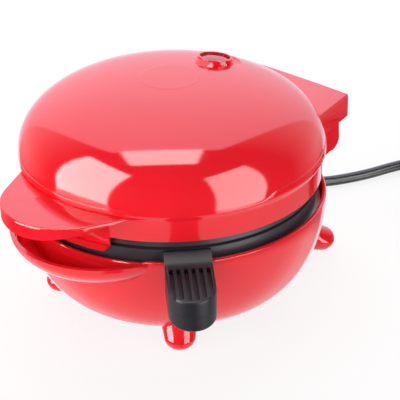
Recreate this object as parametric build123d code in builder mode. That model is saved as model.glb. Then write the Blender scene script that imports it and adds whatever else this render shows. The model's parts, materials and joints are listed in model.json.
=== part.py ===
from build123d import *

import os
from math import acos, asin, atan, atan2, cos, degrees, pi, radians, sin, sqrt, tan

os.makedirs("parts", exist_ok=True)

# An electric cake maker: two round halves with cake moulds, closed, lid hinged at the back (+Y).
# The front handle points to -Y. The origin is on the table under the middle of the footprint.

# Heights above the table, mm
bottom_z = 8.0
base_rim_z = 67.3
scoop_rim_z = 66.5
plate_joint_z = 73.25
lid_rim_z = 79.2
crease_z = 94.4
dome_height = 44.4

# Radii and walls of the two housings
bowl_radius = 91.0
bowl_flat_radius = 55.0
wall = 2.4
floor_thickness = 3.4
rim_round = 1.1
lid_rim_radius = 88.0
band_radius = 88.9
dome_radius = 90.0
dome_fullness = 2.34
crease_gap = 0.8

# Clearances
running = 0.04
slip = 0.1
loose = 0.3

# Lower handle: a scoop standing out of the bowl
scoop_radius = 55.4
scoop_reach = 110.9
scoop_depth = 24.0
scoop_wall_drop = 5.8

# Ledge and lugs that carry the lower pan
ledge_width = 6.0
ledge_drop = 7.3
ledge_height = 2.4
lug_height = 6.0
lug_width = 9.0
screw_circle = 78.4
lug_angles = (30, 150, 270)

# Vent slots at the front and the opening under the bottom cover
vent_length = 10.0
vent_width = 3.0
vent_pitch = 13.0
vent_z = 25.0
service_radius = 42.0
cover_radius = 54.0
cover_thickness = 2.0
cover_screw_circle = 48.5
cover_boss_radius = 4.0
cover_boss_height = 6.5
cover_vent_circle = 28.0
cover_vent_length = 14.0

# Feet: front pair close in, rear pair splayed back
foot_radius = 7.6
leg_radius = 11.0
foot_height = 6.8
foot_cut_z = 1.5
front_foot = (49.5, -48.6)
front_leg_root = (60.0, 22.0)
rear_foot = (37.5, 94.0)
rear_leg_root = (70.0, 24.0)
pad_radius = 4.4
peg_radius = 2.0
peg_height = 3.0

# Hinge
pin_y = 99.0
pin_z = 75.0
pin_radius = 2.5
pin_length = 15.0
pin_head_radius = 4.2
pin_head = 1.8
pin_boss_radius = 5.0
housing_half = 36.0
housing_rear = 12.5
housing_front = 11.0
housing_top = 7.0
housing_root = (80.0, 50.0)
housing_corner = 2.5
ear_gap = 0.5
ear_thickness = 4.5
ear_radius = 7.5

# Hinge block of the lid
block_top_z = 101.3
block_height = 14.4
block_reach = 118.0
block_bow = 1.0
block_rear_half = 44.0
block_front_half = 51.0
block_front_y = 70.0
block_corner = 3.0
block_edge = 2.0
lead_way = 20.0

# Upper handle: a shelf level with the crease, and the finger guard under it
shelf_reach = 121.8
shelf_radius = 37.8
shelf_flare = 25.0
shelf_root_half = 46.0
shelf_depth = 8.6
shelf_keel_radius = 121.0
shelf_edge = 1.4
guard_angle = 20.0
guard_low_z = 71.0
guard_radius = 90.5
guard_corner = 4.0

# Band of the lid and its inner ledge
deck_thickness = 2.4
collar_radius = 87.2
collar_height = 3.6
lid_ledge_z = 85.5
lid_ledge_height = 2.0
lid_ledge_radius = 82.0
cover_lug_angles = (45, 135, 225, 315)
cover_lug_circle = 80.0
cover_lug_width = 8.0

# Baking plates and their moulds
plate_radius = 84.6
plate_gap = 1.1
plate_skin = 2.5
plate_skirt = 3.0
rim_bead = 0.5
cup_radius = 21.0
cup_foot_radius = 16.5
cup_pitch = 52.0
cup_count = 6
lower_cup_depth = 14.5
upper_cup_depth = 11.0
cup_wall = 2.4
cup_round = 4.0
plate_lug_radius = 3.6

# Heat shield pans, elements and controls
sheet = 0.8
pan_radius = 74.2
pan_flange = 87.5
lid_pan_flange = 85.4
pan_round = 3.0
pan_fold = 1.0
lower_pan_floor_z = 46.0
upper_pan_floor_z = 98.8
element_radius = 3.25
element_bend = 5.0
element_open = 36.0
element_leg = 12.0
element_hole = 3.6
stat_radius = 8.4
stat_pin_radius = 1.3
stat_pin_length = 2.0
stat_pin_reach = 4.0
fuse_radius = 2.6
fuse_length = 18.0
fuse_y = -14.0
fuse_x = 21.0
lead_radius = 1.2
lead_bend = 3.0
block_size = (29.0, 10.0, 12.0)
block_y = 47.9

# Grip of the lower plate
grip_angle = -41.4
grip_start = 94.0
grip_end = 125.0
grip_half = 13.2
grip_top_z = 69.0
grip_front_z = 62.2
grip_seam_z = 59.0
grip_seam_slope = 0.206
grip_lower = 9.2
grip_seam_groove = 0.5
lip_start = 85.2
lip_under_z = 68.2
lip_top = (87.0, 72.9)
lip_toe = (93.2, 69.6)
grip_edge = 1.6
rib_groove_count = 6
rib_groove_pitch = 4.1
rib_groove_width = 2.0
rib_groove_depth = 1.3
rib_groove_start = 98.0
rib_groove_end = 121.5
hook_sheet = 1.4
hook_half = 8.0
hook_tip = 80.8
hook_z = 68.5
hook_knee = 92.0
hook_heel = 96.5
hook_end = 117.0
hook_bend = 2.0
grip_screw_places = (103.0, 114.0)

# Pilot lamp
lamp_y = 38.6
lens_radius = 8.9
lens_crown = 0.9
lamp_ring_radius = 10.4
lamp_ring_foot = (15.5, 133.8)
lamp_ring_z = 138.6
lens_seat_z = 136.0
lens_hole = 7.4
lens_recess = 0.5
neon_radius = 2.9
neon_length = 12.0
holder_wall = 1.4
holder_depth = 9.0

# Screws
screw_radius = 1.5
screw_head_radius = 2.9
screw_head = 1.5
screw_length = 8.0

# Power cord
cord_radius = 3.5
cord_x = -22.0
cord_z = 27.0
floor_gap = 0.1
relief_seat_y = 86.0
relief_neck_radius = 5.4
relief_neck_y = 69.0
relief_run = 19.0
relief_flange_radius = 8.0
relief_flange = 2.5
relief_lock_radius = 6.6
relief_boot_y = 106.0
relief_root_radius = 6.6
relief_tip_radius = 4.9
relief_boss_radius = 9.5
relief_ring_count = 5
coil_pitch = 7.6
coil_radius = 43.3
coil_z = 4.6
plug_tail = 16.0
plug_length = 34.0
plug_height = 21.6
plug_width = 31.0
plug_neck_radius = 5.2
plug_face = 12.0
plug_pin_radius = 2.4
plug_pin_length = 19.0
plug_pin_pitch = 19.0
tie_sheet = 0.7
tie_width = 5.0
tie_gap = 0.25

# Worked out from the sizes above
grip_out = (cos(radians(grip_angle)), sin(radians(grip_angle)))
grip_far_x = (grip_end - grip_half) * grip_out[0] + grip_half
axis_x = (bowl_radius - grip_far_x) / 2
axis_y = (shelf_reach - block_reach) / 2
body_axis = Axis((axis_x, axis_y, 0), (0, 0, 1))
scoop_y = scoop_radius - scoop_reach
shelf_y = shelf_radius - shelf_reach
scoop_wall_z = base_rim_z - scoop_wall_drop
inner_floor_z = bottom_z + floor_thickness
ledge_z = base_rim_z - ledge_drop
lower_top_z = plate_joint_z - plate_gap / 2
lower_face_z = lower_top_z - rim_bead
upper_top_z = plate_joint_z + plate_gap / 2
upper_face_z = upper_top_z + rim_bead
lower_cup_z = lower_face_z - lower_cup_depth - cup_wall
upper_cup_z = upper_face_z + upper_cup_depth + cup_wall
block_inner_z = block_top_z - wall
deck_z = crease_z - deck_thickness
lug_start = screw_circle - screw_head_radius


def level(height):
    """A horizontal work plane on the body's axis."""
    return Plane(origin=(axis_x, axis_y, height))


def upright(angle=0.0, forward=0.0):
    """A vertical work plane on the body's axis: its x runs outwards at this angle, its y upwards."""
    out = (cos(radians(angle)), sin(radians(angle)), 0)
    return Plane(origin=(axis_x, axis_y + forward, 0), x_dir=out, z_dir=(out[1], -out[0], 0))


def side_plane(x):
    """A vertical work plane square to X: its x runs to the back, its y upwards."""
    return Plane(origin=(axis_x + x, axis_y, 0), x_dir=(0, 1, 0), z_dir=(1, 0, 0))


def along_grip(height):
    """A horizontal work plane whose x runs out along the grip."""
    return Plane(origin=(axis_x, axis_y, height), x_dir=(*grip_out, 0), z_dir=(0, 0, 1))


def at(x, y, z):
    """A point given from the body's axis."""
    return Vector(axis_x + x, axis_y + y, z)


def round_spot(radius, angle):
    return (radius * cos(radians(angle)), radius * sin(radians(angle)))


def finish(part, name):
    part.label = name
    export_step(part, f"parts/{name}.step")


def screw_set(places, seat_z, length, pointing=-1):
    """Screws whose heads sit on seat_z, with the shanks down (-1) or up (1) from it."""
    with BuildPart() as screws:
        for x, y in places:
            with Locations(Plane(origin=at(x, y, seat_z), z_dir=(0, 0, -pointing)).location):
                Cylinder(screw_head_radius, screw_head, align=(Align.CENTER, Align.CENTER, Align.MIN))
                Cylinder(screw_radius, length, align=(Align.CENTER, Align.CENTER, Align.MAX))
    return screws.part


# Base shell: the bowl with its scoop handle, hinge housing and four legs


def bowl_solid(radius, low):
    """The bowl's form: a flat floor and a quarter ellipse up to the rim, turned about the axis."""
    with BuildPart() as form:
        with BuildSketch(upright()):
            with BuildLine():
                curve = EllipticalCenterArc(
                    (bowl_flat_radius, base_rim_z),
                    radius - bowl_flat_radius,
                    base_rim_z - low,
                    start_angle=270,
                    arc_size=90,
                )
                Polyline(curve @ 1, (0, base_rim_z), (0, low), curve @ 0)
            make_face()
        revolve(axis=body_axis)
    return form.part


def scoop_solid(radius, depth):
    """The scoop's form: half an ellipse turned about its own upright axis."""
    with BuildPart() as form:
        with BuildSketch(upright(forward=scoop_y)):
            with BuildLine():
                curve = EllipticalCenterArc((0, scoop_rim_z), radius, depth, start_angle=270, arc_size=90)
                Polyline(curve @ 1, (0, scoop_rim_z), curve @ 0)
            make_face()
        revolve(axis=Axis(at(0, scoop_y, 0), (0, 0, 1)))
    return form.part


def housing_solid(inset):
    """The hinge housing across the back of the bowl, drawn in on all sides by this much."""
    top = pin_z + housing_top
    rise = degrees(asin(housing_top / housing_front))
    with BuildPart() as form:
        with BuildSketch(side_plane(inset - housing_half)) as section:
            with BuildLine():
                rear = CenterArc((pin_y, pin_z), housing_rear, 0, -100)
                front = CenterArc((pin_y, pin_z), housing_front, 180, -rise)
                Polyline(front @ 1, (pin_y + housing_rear, top), rear @ 0)
                Polyline(
                    rear @ 1,
                    housing_root,
                    (housing_root[0], base_rim_z),
                    (pin_y - housing_front, base_rim_z),
                    front @ 0,
                )
            make_face()
            corner = section.vertices().sort_by_distance((pin_y + housing_rear, top))[0]
            fillet(corner, radius=housing_corner)
            if inset:
                offset(amount=-inset, kind=Kind.INTERSECTION, mode=Mode.REPLACE)
        extrude(amount=2 * (housing_half - inset))
    return form.part


def leg_solid(foot_place, root, inset):
    """A leg that widens from its round foot to its root inside the bowl, cut flat at the foot."""
    foot = at(*foot_place, foot_height)
    share = root[0] / sqrt(foot_place[0] ** 2 + foot_place[1] ** 2)
    run = at(foot_place[0] * share, foot_place[1] * share, root[1]) - foot
    tip = foot_radius - inset
    widening = (leg_radius - foot_radius) / run.length
    with BuildPart() as form:
        with Locations(Location(foot)):
            Sphere(tip)
        with Locations(Plane(origin=foot - run.normalized() * tip * widening, z_dir=run).location):
            Cone(
                bottom_radius=tip * sqrt(1 - widening**2),
                top_radius=leg_radius - inset,
                height=run.length + tip * widening,
                align=(Align.CENTER, Align.CENTER, Align.MIN),
            )
        split(bisect_by=level(foot_cut_z + inset), keep=Keep.TOP)
    return form.part


feet = [(side * x, y) for x, y in (front_foot, rear_foot) for side in (-1, 1)]
roots = [root for root in (front_leg_root, rear_leg_root) for side in (-1, 1)]
cover_screw_spots = [round_spot(cover_screw_circle, angle) for angle in cover_lug_angles]
pan_screw_spots = [round_spot(screw_circle, angle) for angle in lug_angles]
pin_start = housing_half + ear_gap + ear_thickness + running - pin_length

with BuildPart() as base_shell:
    add(bowl_solid(bowl_radius, bottom_z))
    rim = base_shell.edges().filter_by(GeomType.CIRCLE).sort_by(SortBy.RADIUS)[-1]
    fillet(rim, radius=rim_round)
    add(scoop_solid(scoop_radius, scoop_depth))
    add(housing_solid(0))
    for foot_place, root in zip(feet, roots):
        add(leg_solid(foot_place, root, 0))
    add(bowl_solid(bowl_radius - wall, inner_floor_z), mode=Mode.SUBTRACT)
    add(housing_solid(wall), mode=Mode.SUBTRACT)
    for foot_place, root in zip(feet, roots):
        add(leg_solid(foot_place, root, wall), mode=Mode.SUBTRACT)

    # hand pocket of the scoop, and the wall behind it cut down
    with BuildPart(mode=Mode.PRIVATE) as pocket:
        add(scoop_solid(scoop_radius - wall, scoop_depth - wall))
        add(bowl_solid(bowl_radius, bottom_z), mode=Mode.SUBTRACT)
    add(pocket.part, mode=Mode.SUBTRACT)
    with BuildSketch(level(scoop_wall_z)):
        with Locations((0, scoop_y)):
            Circle(scoop_radius - wall)
    extrude(amount=scoop_wall_drop, mode=Mode.SUBTRACT)

    # wall between the plate's space and the hinge housing, the pan's ledge and its lugs
    with BuildSketch(level(ledge_z - ledge_height)):
        with Locations((0, bowl_radius)):
            Rectangle(2 * housing_half, bowl_radius)
        Circle(bowl_radius - wall / 4, mode=Mode.INTERSECT)
        Circle(bowl_radius - 1.3 * wall, mode=Mode.SUBTRACT)
    extrude(amount=base_rim_z - rim_round - ledge_z + ledge_height)
    with BuildSketch(level(ledge_z - ledge_height)):
        Circle(bowl_radius - wall)
        Circle(bowl_radius - wall - ledge_width, mode=Mode.SUBTRACT)
    extrude(amount=ledge_height)
    with BuildSketch(level(ledge_z - lug_height)):
        with PolarLocations(bowl_radius - wall, len(lug_angles), start_angle=lug_angles[0]):
            Rectangle(2 * (bowl_radius - wall - lug_start), lug_width)
        Circle(bowl_radius - wall, mode=Mode.INTERSECT)
    extrude(amount=lug_height)
    with BuildSketch(level(ledge_z)):
        with Locations(pan_screw_spots):
            Circle(screw_radius + running)
    extrude(amount=-lug_height, mode=Mode.SUBTRACT)

    # service opening, the bottom cover's recess and its screw bosses
    with BuildSketch(level(inner_floor_z)):
        with Locations(cover_screw_spots):
            Circle(cover_boss_radius)
    extrude(amount=cover_boss_height)
    with BuildSketch(level(bottom_z)):
        Circle(service_radius)
    extrude(amount=floor_thickness, mode=Mode.SUBTRACT)
    with BuildSketch(level(bottom_z)):
        Circle(cover_radius + loose)
    extrude(amount=cover_thickness, mode=Mode.SUBTRACT)
    with BuildSketch(level(bottom_z)):
        with Locations(cover_screw_spots):
            Circle(screw_radius + running)
    extrude(amount=floor_thickness + cover_boss_height, mode=Mode.SUBTRACT)

    # vent slots under the scoop, and the pegs' holes in the feet
    with BuildSketch(upright(forward=-bowl_radius)):
        with Locations((-vent_pitch, vent_z), (0, vent_z), (vent_pitch, vent_z)):
            SlotOverall(vent_length, vent_width)
    extrude(amount=-bowl_radius / 3, mode=Mode.SUBTRACT)
    with BuildSketch(level(foot_cut_z)):
        with Locations(feet):
            Circle(peg_radius + running)
    extrude(amount=wall, mode=Mode.SUBTRACT)

    # bosses for the hinge pins
    for side in (-1, 1):
        with BuildSketch(side_plane(side * pin_start)):
            with Locations((pin_y, pin_z)):
                Circle(pin_boss_radius)
        extrude(amount=side * (housing_half - pin_start))
        with BuildSketch(side_plane(side * pin_start)):
            with Locations((pin_y, pin_z)):
                Circle(pin_radius)
        extrude(amount=side * (housing_half - pin_start), mode=Mode.SUBTRACT)

    # cord outlet at the back
    with BuildSketch(upright(forward=relief_seat_y)):
        with Locations((cord_x, cord_z)):
            Circle(relief_boss_radius)
    extrude(amount=relief_seat_y - relief_neck_y)
    with BuildSketch(upright(forward=relief_seat_y)):
        with Locations((cord_x, cord_z)):
            Circle(relief_neck_radius + running)
    extrude(amount=relief_seat_y - relief_neck_y, mode=Mode.SUBTRACT)
finish(base_shell.part, "base_shell")

with BuildPart() as foot_pads:
    with BuildSketch(level(0)):
        with Locations(feet):
            Circle(pad_radius)
    extrude(amount=foot_cut_z)
    chamfer(foot_pads.edges().group_by(Axis.Z)[0], length=foot_cut_z / 4)
    with BuildSketch(level(foot_cut_z)):
        with Locations(feet):
            Circle(peg_radius)
    extrude(amount=peg_height)
finish(foot_pads.part, "foot_pads")

with BuildPart() as bottom_cover:
    with BuildSketch(level(bottom_z)):
        Circle(cover_radius)
        with PolarLocations(cover_vent_circle, 12):
            SlotOverall(cover_vent_length, vent_width, mode=Mode.SUBTRACT)
        with Locations(cover_screw_spots):
            Circle(screw_radius + slip, mode=Mode.SUBTRACT)
    extrude(amount=cover_thickness)
    with BuildSketch(level(bottom_z)):
        with Locations(cover_screw_spots):
            Circle(screw_head_radius + slip)
    extrude(amount=screw_head, mode=Mode.SUBTRACT)
finish(bottom_cover.part, "bottom_cover")

cover_screws = screw_set(cover_screw_spots, bottom_z + screw_head, screw_length, pointing=1)
finish(cover_screws, "cover_screws")

with BuildPart() as hinge_pins:
    for side in (-1, 1):
        with BuildSketch(side_plane(side * pin_start)):
            with Locations((pin_y, pin_z)):
                Circle(pin_radius)
        extrude(amount=side * pin_length)
        with BuildSketch(side_plane(side * (pin_start + pin_length))):
            with Locations((pin_y, pin_z)):
                Circle(pin_head_radius)
        extrude(amount=side * pin_head)
    heads = hinge_pins.edges().filter_by(GeomType.CIRCLE).group_by(Axis.X)
    chamfer(heads[0] + heads[-1], length=pin_head / 4)
finish(hinge_pins.part, "hinge_pins")


# Baking plates: cast discs with a skirt, a raised rim and seven moulds


def cup_solid(mouth_z, depth, grow, up):
    """The seven moulds, each a cone with a rounded foot, let into the plate from its face."""
    with BuildPart() as cups:
        places = [(0, 0)] + [round_spot(cup_pitch, angle) for angle in range(0, 360, 360 // cup_count)]
        for x, y in places:
            plane = Plane(origin=at(x, y, mouth_z), z_dir=(0, 0, up))
            with BuildSketch(plane):
                Circle(cup_radius + grow)
            with BuildSketch(plane.offset(depth + grow)):
                Circle(cup_foot_radius + grow)
            loft()
        feet_edges = cups.edges().filter_by(GeomType.CIRCLE).group_by(Axis.Z)[-1 if up > 0 else 0]
        fillet(feet_edges, radius=cup_round + grow)
    return cups.part


def plate_solid(face_z, rim_z, skirt_z, depth, up):
    """One plate seen from its face at face_z, its skirt reaching to skirt_z behind it."""
    with BuildPart() as plate:
        with BuildSketch(upright()):
            Polyline_points = [
                (0, face_z),
                (plate_radius - plate_skirt, face_z),
                (plate_radius - plate_skirt + rim_bead, rim_z),
                (plate_radius, rim_z),
                (plate_radius, skirt_z),
                (plate_radius - plate_skirt, skirt_z),
                (plate_radius - plate_skirt, face_z + up * plate_skin),
                (0, face_z + up * plate_skin),
            ]
            Polygon(*Polyline_points, align=None)
        revolve(axis=body_axis)
        add(cup_solid(face_z, depth, cup_wall, up))
        add(cup_solid(face_z, depth, 0, up), mode=Mode.SUBTRACT)
    return plate.part


with BuildPart() as lower_plate:
    add(plate_solid(lower_face_z, lower_top_z, ledge_z + sheet, lower_cup_depth, -1))
    window_low = hook_z - hook_sheet / 2 - loose
    with BuildSketch(along_grip(window_low)):
        with Locations((plate_radius, 0)):
            Rectangle(4 * plate_skirt, 2 * (hook_half + loose))
    extrude(amount=hook_sheet + 2 * loose, mode=Mode.SUBTRACT)
finish(lower_plate.part, "lower_plate")

with BuildPart() as upper_plate:
    add(plate_solid(upper_face_z, upper_top_z, lid_ledge_z - sheet, upper_cup_depth, 1))
    with BuildSketch(level(upper_face_z + plate_skin)):
        with Locations(pan_screw_spots):
            Circle(plate_lug_radius)
    extrude(amount=lid_ledge_z - sheet - upper_face_z - plate_skin)
    with BuildSketch(level(lid_ledge_z - sheet)):
        with Locations(pan_screw_spots):
            Circle(screw_radius + running)
    extrude(amount=sheet + lid_ledge_height - screw_length, mode=Mode.SUBTRACT)
finish(upper_plate.part, "upper_plate")


# Heat shield pans, pressed from sheet


def pan_solid(flange, flange_z, floor_z):
    """A sheet pan: floor, wall and flange drawn as one bent strip and turned about the axis."""
    with BuildPart() as pan:
        with BuildSketch(upright()):
            with BuildLine():
                strip = FilletPolyline(
                    (0, floor_z),
                    (pan_radius - sheet / 2, floor_z),
                    (pan_radius - sheet / 2, flange_z),
                    (flange, flange_z),
                    radius=[pan_round, pan_fold],
                )
            trace(strip, line_width=sheet)
        revolve(axis=body_axis)
        with BuildSketch(level(flange_z)):
            with Locations(pan_screw_spots):
                Circle(screw_radius + slip)
        extrude(amount=sheet, both=True, mode=Mode.SUBTRACT)
        with BuildSketch(level(floor_z)):
            with Locations(*element_leg_spots):
                Circle(element_hole)
        extrude(amount=sheet, both=True, mode=Mode.SUBTRACT)
    return pan.part


element_start = 90 + element_open / 2
element_tail = round_spot(cup_pitch, element_start)
element_leg_x = element_tail[0] + element_bend * sin(radians(element_start))
element_leg_y = element_tail[1] - element_bend * cos(radians(element_start))
element_leg_spots = [(element_leg_x, element_leg_y), (-element_leg_x, element_leg_y)]

with BuildPart() as lower_pan:
    add(pan_solid(pan_flange, ledge_z + sheet / 2, lower_pan_floor_z + sheet / 2))
    with BuildSketch(level(lower_pan_floor_z)):
        with Locations((-stat_pin_reach, 0), (stat_pin_reach, 0)):
            Circle(stat_pin_radius + loose)
    extrude(amount=sheet, mode=Mode.SUBTRACT)
finish(lower_pan.part, "lower_pan")

upper_pan = pan_solid(lid_pan_flange, lid_ledge_z - sheet / 2, upper_pan_floor_z - sheet / 2)
finish(upper_pan, "upper_pan")

pan_screws = screw_set(pan_screw_spots, ledge_z + sheet, lug_height)
finish(pan_screws, "pan_screws")

upper_plate_screws = screw_set(pan_screw_spots, lid_ledge_z + lid_ledge_height, screw_length)
finish(upper_plate_screws, "upper_plate_screws")


# Tubular heating elements: an open ring, both ends bent away from the plate


def element_solid(ring_z, away):
    """A ring of tube under the moulds, its two ends turned down (-1) or up (1) through the pan."""
    with BuildPart() as element:
        with BuildLine() as path:
            ring = CenterArc(at(0, 0, ring_z), cup_pitch, element_start, 360 - element_open)
            for end, heading in ((ring @ 0, (ring % 0) * -1), (ring @ 1, ring % 1)):
                drop = Vector(0, 0, away * element_bend)
                bend = TangentArc(end, end + heading * element_bend + drop, tangent=heading)
                Line(bend @ 1, (bend @ 1) + Vector(0, 0, away * element_leg))
        tube = path.wire()
        with BuildSketch(Plane(origin=tube @ 0, z_dir=tube % 0)):
            Circle(element_radius)
        sweep(path=tube)
    return element.part


lower_heater = element_solid(lower_cup_z - element_radius, -1)
finish(lower_heater, "lower_heater")
upper_heater = element_solid(upper_cup_z + element_radius, 1)
finish(upper_heater, "upper_heater")

# Controls under the lower plate

with BuildPart() as thermostat:
    with BuildSketch(level(lower_pan_floor_z + sheet)):
        Circle(stat_radius)
    extrude(amount=lower_cup_z - lower_pan_floor_z - sheet)
    chamfer(thermostat.edges().group_by(Axis.Z)[-1], length=sheet)
    with BuildSketch(level(lower_pan_floor_z + sheet)):
        with Locations((-stat_pin_reach, 0), (stat_pin_reach, 0)):
            Circle(stat_pin_radius)
    extrude(amount=-sheet - stat_pin_length)
finish(thermostat.part, "thermostat")

with BuildPart() as thermal_fuse:
    fuse_z = lower_pan_floor_z - fuse_radius
    with BuildSketch(side_plane(fuse_x - fuse_length / 2)):
        with Locations((fuse_y, fuse_z)):
            Circle(fuse_radius)
    extrude(amount=fuse_length)
finish(thermal_fuse.part, "thermal_fuse")

with BuildPart() as terminal_block:
    with BuildSketch(level(inner_floor_z)):
        with Locations((0, block_y)):
            Rectangle(block_size[0], block_size[1])
    extrude(amount=block_size[2])
    with BuildSketch(level(inner_floor_z + block_size[2])):
        with Locations((0, block_y)):
            with GridLocations(block_size[0] / 3, 1, 3, 1):
                Circle(screw_radius)
    extrude(amount=-block_size[2] / 3, mode=Mode.SUBTRACT)
finish(terminal_block.part, "terminal_block")


def lead_solid(*points, radius=lead_radius):
    """An insulated lead along straight runs with rounded corners."""
    with BuildPart() as lead:
        with BuildLine():
            if len(points) > 2:
                run = FilletPolyline(*points, radius=lead_bend)
            else:
                run = Line(*points)
        with BuildSketch(Plane(origin=run @ 0, z_dir=run % 0)):
            Circle(radius)
        sweep(path=run)
    return lead.part


block_top = inner_floor_z + block_size[2]
leg_z = lower_cup_z - element_radius - element_bend - element_leg
stat_z = lower_pan_floor_z - stat_pin_length
mains_end = (-11.0, 14.5, 22.5)
mains_heading = (at(*mains_end) - at(cord_x, relief_neck_y - relief_run, cord_z)).normalized()
low_way = leg_z - 2 * lead_bend

with BuildPart() as base_leads:
    add(
        lead_solid(
            at(*mains_end),
            at(*mains_end) + mains_heading * 3 * lead_bend,
            at(-mains_end[0], mains_end[1], mains_end[2] - 2 * lead_bend),
            at(-mains_end[0], block_y - block_size[1] / 2, mains_end[2] - 2 * lead_bend),
        )
    )
    add(lead_solid(at(-element_leg_x, element_leg_y, leg_z), at(-element_leg_x, element_leg_y, block_top)))
    add(
        lead_solid(
            at(0, block_y, block_top),
            at(0, block_y, block_top + 2 * lead_bend),
            at(stat_pin_reach, 0, stat_z - 3 * lead_bend),
            at(stat_pin_reach, 0, stat_z),
        )
    )
    add(
        lead_solid(
            at(-stat_pin_reach, 0, stat_z),
            at(-stat_pin_reach, 0, stat_z - 3 * lead_bend),
            at(fuse_x - fuse_length / 2 - 3 * lead_bend, fuse_y, fuse_z),
            at(fuse_x - fuse_length / 2, fuse_y, fuse_z),
        )
    )
    add(
        lead_solid(
            at(fuse_x + fuse_length / 2, fuse_y, fuse_z),
            at(fuse_x + fuse_length, fuse_y, fuse_z),
            at(fuse_x + fuse_length / 2, block_y / 2, low_way),
            at(element_leg_x, element_leg_y, low_way),
            at(element_leg_x, element_leg_y, leg_z),
        )
    )
finish(base_leads.part, "base_leads")


# Lid frame: band, ledge, deck, handle shelf, finger guard and hinge block in one moulding


def shelf_plan(inset):
    """Outline of the handle shelf at the crease, drawn in by this much."""
    spot = round_spot(shelf_radius, -shelf_flare)
    run = (shelf_root_half - spot[0]) / sin(radians(shelf_flare))
    root_y = shelf_y + spot[1] + run * cos(radians(shelf_flare))
    with BuildSketch(level(crease_z)) as plan:
        with Locations((0, shelf_y)):
            Circle(shelf_radius)
        Polygon(
            (-spot[0], shelf_y + spot[1]),
            (spot[0], shelf_y + spot[1]),
            (shelf_root_half, root_y),
            (-shelf_root_half, root_y),
            align=None,
        )
        if inset:
            offset(amount=-inset, mode=Mode.REPLACE)
    return plan.sketch


def block_solid(inset, low, high):
    """The hinge block between two heights, its outline drawn in (or out, if negative) by this much."""
    corner_y = block_reach - block_bow
    with BuildPart() as block:
        with BuildSketch(level(low)) as plan:
            with BuildLine():
                rear = ThreePointArc((block_rear_half, corner_y), (0, block_reach), (-block_rear_half, corner_y))
                front = [(-block_front_half, block_front_y), (block_front_half, block_front_y)]
                Polyline(rear @ 1, *front, rear @ 0)
            make_face()
            fillet(plan.vertices().group_by(Axis.Y)[-1], radius=block_corner)
            if inset:
                offset(amount=-inset, mode=Mode.REPLACE)
        extrude(amount=high - low)
    return block.part


band_low_inner = lid_rim_radius - wall
band_high_inner = band_radius - wall - slip
cover_lug_spots = [round_spot(cover_lug_circle, angle) for angle in cover_lug_angles]

with BuildPart() as shelf:
    add(shelf_plan(0))
    extrude(amount=-2 * shelf_depth)
    fillet(shelf.edges().group_by(Axis.Z)[-1].sort_by(Axis.Y)[:-1], radius=shelf_edge)
    with BuildSketch(level(crease_z)):
        Circle(band_radius - wall / 2)
    extrude(amount=-2 * shelf_depth, mode=Mode.SUBTRACT)
    with BuildSketch(upright(forward=-shelf_reach)):
        with Locations((0, crease_z - shelf_depth + shelf_keel_radius)):
            Circle(shelf_keel_radius)
    extrude(amount=-shelf_reach, mode=Mode.INTERSECT)

with BuildPart() as shelf_hollow:
    add(shelf_plan(wall))
    extrude(amount=-2 * shelf_depth)
    with BuildSketch(level(crease_z)):
        Circle(band_radius)
    extrude(amount=-2 * shelf_depth, mode=Mode.SUBTRACT)

with BuildPart() as guard:
    with BuildSketch(level(guard_low_z)):
        Circle(guard_radius)
        Circle(lid_rim_radius, mode=Mode.SUBTRACT)
    extrude(amount=crease_z - wall - guard_low_z)
    with BuildSketch(upright()):
        with Locations((0, crease_z)):
            RectangleRounded(
                2 * guard_radius * sin(radians(guard_angle)), 2 * (crease_z - guard_low_z), guard_corner
            )
    extrude(amount=shelf_reach, mode=Mode.INTERSECT)

with BuildPart() as block:
    add(block_solid(0, block_top_z - block_height, block_top_z))
    fillet(block.edges().group_by(Axis.Z)[-1], radius=block_edge)
    with BuildSketch(level(block_top_z - block_height)):
        Circle(band_high_inner)
    extrude(amount=deck_z - block_top_z + block_height, mode=Mode.SUBTRACT)
    with BuildSketch(level(deck_z)):
        Circle(collar_radius - wall)
    extrude(amount=block_height, mode=Mode.SUBTRACT)

with BuildPart() as block_hollow:
    add(block_solid(wall, block_top_z - block_height, block_inner_z))
    with BuildSketch(level(block_top_z - block_height)):
        Circle(band_radius)
    extrude(amount=block_height, mode=Mode.SUBTRACT)

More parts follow.
